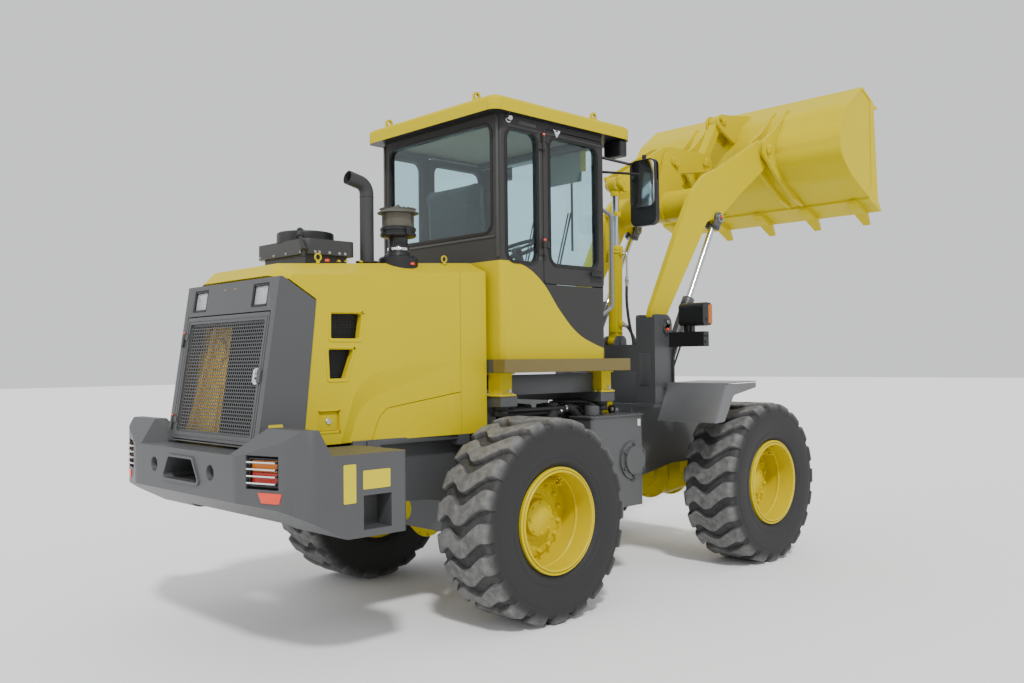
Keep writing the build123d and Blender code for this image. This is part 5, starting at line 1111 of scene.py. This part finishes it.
# ---------------- boom, rocker and link
# Flame-cut plate, welded and sprayed yellow. Each pin has a chamfered end and a grease nipple, and some
# a flag plate with its bolt; weld beads run round the cross tube and the bucket's bosses.
CROSS_TUBE, BUCKET_PIN, ROCKER_PIN, LINK_PIN, TILT_EYE = (
    (2185, 2523), (3005, 3030), (2234, 2874), (2725, 2939), (1660, 2640))
dress(machine_yellow, "boom", "rocker", "bucket_link")
rounded(0.003, "boom", "rocker", "bucket_link")
weld_yellow = coated("weld_bead", YELLOW, 0.45, tone=0.08, grain=150, depth=0.9, shine=0.2)


def pin_end(shape, point, y, side, radius, flag=0.0):
    """A pin's end at (x, z) of its axis, with a flag plate turned by an angle when asked."""
    face = aimed((point[0], side * y, point[1]), (0, side, 0))
    spun(shape, [(0, 9), (radius - 8, 9), (radius - 2, 4), (radius, 0), (radius, -6), (0, -6)], face, 36)
    rod(shape, at(face, 0, 0, 8), at(face, 0, 0, 17), 4.5, 6)
    if flag:
        flag_place = face @ turn(flag)
        plate(shape, rect(-radius - 4, -17, radius + 34, 17), "Z", 1, 8, 14, 1, 0, flag_place)
        screw(shape, at(flag_place, radius + 20, 0, 8), (0, side, 0), 1.5)


TUBE_BEAD = [(111, -5), (119, -4), (121, 0), (119, 4), (111, 5), (111, -5)]
EAR_BEAD = [(111, -5), (116, -3), (117, 0), (116, 3), (111, 5), (111, -5)]
BOSS_BEAD = [(66, -4), (76, -3), (77, 0), (76, 3), (66, 4), (66, -4)]
boom_pins, beads, rocker_pins = (bmesh.new() for _ in range(3))
for side in (1, -1):
    pin_end(boom_pins, ROCKER_PIN, 103, side, 30, 0.7 * side)
    pin_end(rocker_pins, LINK_PIN, 69, side, 34, 2.6 * side)
    pin_end(rocker_pins, TILT_EYE, 69, side, 34, 1.2 * side)
    for (x, z), y, rows, steps in ((CROSS_TUBE, 355, TUBE_BEAD, 56), (CROSS_TUBE, 70, EAR_BEAD, 56),
                                   (CROSS_TUBE, 94, EAR_BEAD, 56), (BUCKET_PIN, 401, BOSS_BEAD, 48),
                                   (BUCKET_PIN, 359, BOSS_BEAD, 48)):
        spun(beads, rows, aimed((x, side * y, z), (0, 1, 0)), steps)
made("boom_pins", boom_pins, machine_yellow, "boom")
made("boom_welds", beads, weld_yellow, "boom")
made("rocker_pins", rocker_pins, machine_yellow, "rocker")

# ---------------- bucket
# Rolled steel bucket with end plates, sprayed yellow, with welds along its ribs. The teeth are forged
# and painted with it, and bolted on. SHELL is the rolled shell's outline, from lip to top, as (x, z).
SHELL = ((3530, 2638), (3385, 2686), (3240, 2766), (3150, 2838), (3098, 2912), (3085, 3000), (3093, 3090),
         (3130, 3170), (3225, 3306))
bucket_paint = coated("bucket_yellow_paint", (0.57, 0.455, 0.0), 0.34, tone=0.03, grain=240, depth=0.04,
                      shine=0.1)
dress(bucket_paint, "bucket", "bucket_teeth")
rounded(0.0035, "bucket")
rounded(0.004, "bucket_teeth")
bucket_pins, bucket_beads, edge_bolts = (bmesh.new() for _ in range(3))
for side in (1, -1):
    pin_end(bucket_pins, BUCKET_PIN, 463, side, 30, 2.2 * side)
    pin_end(bucket_pins, (2958, 3303), 73, side, 28, 3.6 * side)
    pin_end(bucket_pins, BUCKET_PIN, 301, -side, 30)
    for y in (425, 453, 333, 307):
        for (x, z), (end_x, end_z) in zip(SHELL, SHELL[1:]):
            rod(bucket_beads, (x, side * y, z), (end_x, side * y, end_z), 5, 8)
    rod(bucket_beads, (3476, side * 985, 3483), (3660, side * 985, 3391), 5, 8)
for y in (-860, -430, 0, 430, 860):
    for x, z in ((3600, 2634), (3680, 2604)):
        screw(edge_bolts, (x, y, z), (0.35, 0, 1), 1.8)
made("bucket_pins", bucket_pins, bucket_paint, "bucket")
made("bucket_welds", bucket_beads, weld_yellow, "bucket")
made("tooth_bolts", edge_bolts, bucket_paint, "bucket")

# ---------------- cylinders
# Painted tubes with screwed glands and hard-chromed rods. The lift cylinders are grey with a forged fork
# and a red cap on its pin; the tilt cylinder is yellow. Bent steel pipes carry the oil to each gland.
LIFT_Y, LIFT_PIPE_Y, TILT_PIPE_Y = 380, 66, -104
LIFT_PINS = (Vector((LIFT_FOOT[0], 0, LIFT_FOOT[1])), Vector((2350, 0, 2415)))
TILT_PINS = (Vector((1640, 0, 1500)), Vector((TILT_EYE[0], 0, TILT_EYE[1])))
LIFT_SPAN, TILT_SPAN = ((eye - foot).length for foot, eye in (LIFT_PINS, TILT_PINS))
TURNED_TO_X = turn(math.radians(90), "Y")
dress(machine_yellow, "tilt_barrel")
dress(frame_grey, "lift_barrel_left", "lift_barrel_right", "steer_barrel_left", "steer_barrel_right")
chrome_rod = coated("chromed_rod", (0.62, 0.63, 0.64), 0.14, metallic=1.0, tone=0.05, grain=80, depth=0.008)
dress(chrome_rod, "lift_rod_left", "lift_rod_right", "steer_rod_left", "steer_rod_right", "tilt_rod")
rounded(0.002, "lift_barrel_left", "lift_barrel_right", "tilt_barrel")


def along_pins(pins, y):
    """A cylinder's own axes: X towards the rod's eye, Y to the left, Z square to both."""
    run, left = (pins[1] - pins[0]).normalized(), Vector((0, 1, 0))
    return Matrix.Translation(pins[0] + left * y) @ Matrix((run, left, run.cross(left))).transposed().to_4x4()


def rounded_path(points, bend, parts):
    """Points along straight runs that meet in bends."""
    points = [Vector(point) for point in points]
    path = [points[0]]
    for before, corner, after in zip(points, points[1:], points[2:]):
        reach = min(bend, (corner - before).length / 2.05, (after - corner).length / 2.05)
        start = corner + (before - corner).normalized() * reach
        end = corner + (after - corner).normalized() * reach
        path += [on_bend(start, corner, end, step / parts) for step in range(parts + 1)]
    return path + [points[-1]]


def tube(shape, points, radius, bend=60.0, sides=14, parts=6):
    """Add a pipe or hose along points."""
    path = rounded_path(points, bend, parts)
    normal = (path[1] - path[0]).normalized().orthogonal().normalized()
    rings = []
    for step, spot in enumerate(path):
        heading = (path[min(step + 1, len(path) - 1)] - path[max(step - 1, 0)]).normalized()
        normal = (normal - heading * normal.dot(heading)).normalized()
        across = heading.cross(normal)
        rings.append([shape.verts.new(spot + normal * first + across * second)
                      for first, second in circle(radius, sides)])
    for low_ring, high_ring in zip(rings, rings[1:]):
        for step in range(sides):
            after = (step + 1) % sides
            shape.faces.new((low_ring[step], low_ring[after], high_ring[after], high_ring[step]))
    shape.faces.new(rings[0])
    shape.faces.new(rings[-1])


for side, word in SIDES:
    own = along_pins(LIFT_PINS, side * LIFT_Y)
    gland, fork, fork_cap = (bmesh.new() for _ in range(3))
    spun(gland, [(23.5, 738), (34, 738), (36, 740), (36, 743), (24, 745), (23.5, 738)], own @ TURNED_TO_X, 40)
    for x in (700, 686, 672):
        spun(gland, band(40, 45.5, x, x + 6), own @ TURNED_TO_X, 40)
    for x in (120, 690):
        block(gland, (x - 18, side * 30, -18), (x + 18, side * 56, 18), 3, own)
    pipe_run = ((688, 52), *((x, LIFT_PIPE_Y) for x in (690, 640, 200, 120)), (120, 50))
    tube(gland, [at(own, x, side * y, 0) for x, y in pipe_run], 7, 24)
    made(f"lift_gland_{word}", gland, frame_grey, f"lift_barrel_{word}")
    for tip in (1, -1):
        boss = own @ shift(LIFT_SPAN, 0, 0) @ turn(math.radians(-90 * tip), "X")
        block(fork, (LIFT_SPAN - 88, tip * 22.6, -36), (LIFT_SPAN + 2, tip * 43.6, 36), 4, own)
        spun(fork, [(0, 22.6), (46, 22.6), (46, 40), (42, 44), (30, 45), (0, 45)], boss, 40)
        spun(fork, [(0, 44), (27, 44), (27, 50), (24, 53), (0, 53)], boss, 32)
    block(fork, (LIFT_SPAN - 89.6, -43.6, -25), (LIFT_SPAN - 76, 43.6, 25), 2, own)
    made(f"lift_fork_{word}", fork, frame_grey, f"lift_rod_{word}")
    start = at(own, LIFT_SPAN + 6, side * 52, 6)
    rod(fork_cap, start, start + Vector((0, side * 9, 0)), 10, 18, 7)
    made(f"lift_fork_cap_{word}", fork_cap, cap_red, f"lift_rod_{word}")

own = along_pins(TILT_PINS, 0)
tilt_gland, pipe, indicator = (bmesh.new() for _ in range(3))
spun(tilt_gland, [(26.5, 680), (44, 680), (47, 686), (47, 692), (30, 696), (26.5, 680)], own @ TURNED_TO_X)
for x in (640, 664):
    spun(tilt_gland, band(50, 57, x, x + 9), own @ TURNED_TO_X)
for x in (130, 640):
    block(tilt_gland, (x - 20, -66, -20), (x + 20, -40, 20), 4, own)
made("tilt_gland", tilt_gland, machine_yellow, "tilt_barrel")
tube(pipe, [at(own, x, y, 0) for x, y in (
    (640, -60), (640, TILT_PIPE_Y), (560, TILT_PIPE_Y), (450, TILT_PIPE_Y))], 8, 40)
rod(pipe, at(own, 640, -64, 0), at(own, 640, -78, 0), 15, 6)
rod(pipe, at(own, 468, TILT_PIPE_Y, 0), at(own, 440, TILT_PIPE_Y, 0), 14, 6)
made("tilt_pipe", pipe, chrome, "tilt_barrel")
# the level indicator's bar and clamp are yellow, and the eye is a yellow forging
block(indicator, (TILT_SPAN - 561, 73, -16), (TILT_SPAN - 199, 83.4, 16), 3, own)
block(indicator, (TILT_SPAN - 232, -32, -24), (TILT_SPAN - 198, 84, 24), 3, own)
spun(indicator, [(0, -37), (50, -37), (55, -33), (55, 33), (50, 37), (0, 37)],
     own @ shift(TILT_SPAN, 0, 0) @ turn(math.radians(90), "X"))
spun(indicator, [(26, TILT_SPAN - 88), (34, TILT_SPAN - 84), (38, TILT_SPAN - 48), (26, TILT_SPAN - 48),
                 (26, TILT_SPAN - 88)], own @ TURNED_TO_X, 40)
made("tilt_indicator", indicator, machine_yellow, "tilt_rod")


def steer_at(side, reach, up=0.0):
    """A point along a steering cylinder from its foot, or above it."""
    foot, eye = Vector((660, side * 300, 650)), Vector((1330, side * 250, 650))
    return foot + (eye - foot).normalized() * reach + Vector((0, 0, up))


STEER_SPAN, STEER_PORTS = math.hypot(670, 50), (90, 380)
for side, word in SIDES:
    eye, gland = bmesh.new(), bmesh.new()
    spun(eye, [(0, -18), (29, -18), (33, -14), (33, 14), (29, 18), (0, 18)],
         Matrix.Translation(steer_at(side, STEER_SPAN)), 32)
    rod(eye, steer_at(side, STEER_SPAN - 70), steer_at(side, STEER_SPAN - 26), 19)
    made(f"steer_eye_{word}", eye, frame_grey, f"steer_rod_{word}")
    rod(gland, steer_at(side, 395), steer_at(side, 426), 37, 32)
    for reach in STEER_PORTS:
        rod(gland, steer_at(side, reach), steer_at(side, reach, 52), 13, 16)
    made(f"steer_gland_{word}", gland, frame_grey, f"steer_barrel_{word}")

# ---------------- hoses
# Black rubber pressure hoses with crimped zinc ends. Cables run up to the head lamps and to the
# condenser's fan.
hose_rubber = coated("hose_rubber", (0.018, 0.018, 0.019), 0.55, tone=0.2, grain=700, depth=0.2)


def hose(name, points, body, other, radius, bend):
    """A hose along points with a fitting at each end: the first fitting rides on body, the last on other."""
    shape = bmesh.new()
    tube(shape, points, radius, bend, 12, 10)
    bmesh.ops.subdivide_edges(shape, edges=[edge for edge in shape.edges if edge.calc_length() > 40], cuts=3)
    bmesh.ops.recalc_face_normals(shape, faces=shape.faces)
    piece = meshed(name, shape, hose_rubber)
    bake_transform(piece)
    for end, spot, towards, owner in (("first", points[0], points[1], body),
                                      ("last", points[-1], points[-2], other)):
        spot, away = Vector(spot), (Vector(towards) - Vector(spot)).normalized()
        fitting = bmesh.new()
        rod(fitting, spot - away * 4, spot + away * 14, radius * 1.5, 6)
        rod(fitting, spot + away * 14, spot + away * 44, radius * 1.22, 16)
        made(f"{name}_{end}_end", fitting, zinc, owner)


# across the articulation, from the valve block to the front frame: the run's middle y, height and sag
for number, (y, z, sag) in enumerate(((-60, 985, 40), (-25, 1000, 20), (15, 990, 30), (55, 1005, 50),
                                      (-95, 1010, 60), (95, 1000, 45))):
    hose(f"articulation_hose_{number}",
         [(820, y * 1.6, z - 60), (900, y * 1.5, z - 60), (1000, y, z - 40 - sag), (1150, y, z - 40 - sag),
          (1300, y * 1.6, z + 20), (1447, y * 1.7, z + 20)],
         "rear_chassis", "front_chassis", 12, 90)
# from the frame to the steering cylinders
for side, word in SIDES:
    for number, reach in enumerate(STEER_PORTS):
        y, top = side * (200 + 60 * number), steer_at(side, reach, 52)
        hose(f"steer_hose_{word}_{number}",
             [(578, y, 860), (640, y, 860), (700, side * 290, 820), top + Vector((0, 0, 70)), top],
             "rear_chassis", f"steer_barrel_{word}",
             9, 60)
# from the towers to the lift cylinders' gland pipes
for side, word in SIDES:
    low_end = along_pins(LIFT_PINS, side * LIFT_Y) @ Vector((120, side * LIFT_PIPE_Y, 0))
    hose(f"lift_hose_{word}",
         [(1515, side * 380, 1390), (1560, side * 395, 1390), (1620, side * 446, 1350),
          (1668, side * 446, 1310), low_end],
         "front_chassis", f"lift_barrel_{word}", 8, 50)
# from the cross box to the tilt cylinder
hose("tilt_hose_upper",
     [(1545, -130, 1400), (1600, -150, 1400), (1665, -150, 1480), (1648, -118, 1640),
      (1640, TILT_PIPE_Y, 1800), at(own, 440, TILT_PIPE_Y, 0)],
     "front_chassis", "tilt_barrel", 10, 80)
hose("tilt_hose_lower",
     [(1545, -190, 1400), (1610, -190, 1400), (1690, -150, 1500), (1672, -90, 1610), at(own, 130, -66, 0)],
     "front_chassis", "tilt_barrel", 10, 60)
loom, pump_hoses, clamps, cable = (bmesh.new() for _ in range(4))
for side in (1, -1):
    for x in (1683, 1694):
        tube(loom, [(x, side * y, z) for y, z in (
            (468, 1086), (468, 1200), (468, 1380), (480, 1450), (500, 1470))], 6, 60, 10)
made("lamp_cables", loom, hose_rubber, "front_chassis")
# hoses and clamps beside the transmission and the hydraulic tank
for radius, bend, sides, *points in (
    (27, 70, 20, (420, -400, 1075), (520, -440, 1060), (640, -455, 1100), (700, -455, 1050), (720, -455, 1034)),
    (16, 60, 16, (330, -420, 1020), (470, -455, 1010), (600, -430, 1090), (760, -420, 1090), (800, -450, 1034)),
    (13, 50, 16, (860, -500, 1034), (860, -500, 1085), (800, -440, 1120), (690, -360, 1120), (640, -320, 1125)),
    (13, 50, 16, (905, -470, 1034), (905, -470, 1100), (850, -400, 1125), (700, -290, 1125)),
):
    tube(pump_hoses, points, radius, bend, sides)
made("tank_hoses", pump_hoses, hose_rubber)
for spot in ((560, -446, 1071), (600, -452, 1088)):
    spun(clamps, band(27, 29, -6, 6), aimed(spot, (1, -0.1, 0.3)), 32)
    block(clamps, (26, -8, -7), (36, 8, 7), 2, aimed(spot, (1, -0.1, 0.3)))
made("hose_clamps", clamps, chrome)
# the condenser fan's taped cable
for off, radius in ((0, 10), (14, 6.5)):
    tube(cable, [(x, y + off, z) for x, y, z in (
        (-1085, -262, 1908), (-1082, -258, 1955), (-1060, -190, 2012), (-1020, -110, 2050), (-960, -40, 2072),
        (-915, 0, 2068))], radius, 40, 12)
for spot in ((-1083, -260, 1940), (-1052, -170, 2020), (-1000, -85, 2060)):
    rod(cable, Vector(spot) - Vector((6, 6, 6)), Vector(spot) + Vector((6, 6, 6)), 17, 12)
made("condenser_cable", cable, hose_rubber)

low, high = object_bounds()
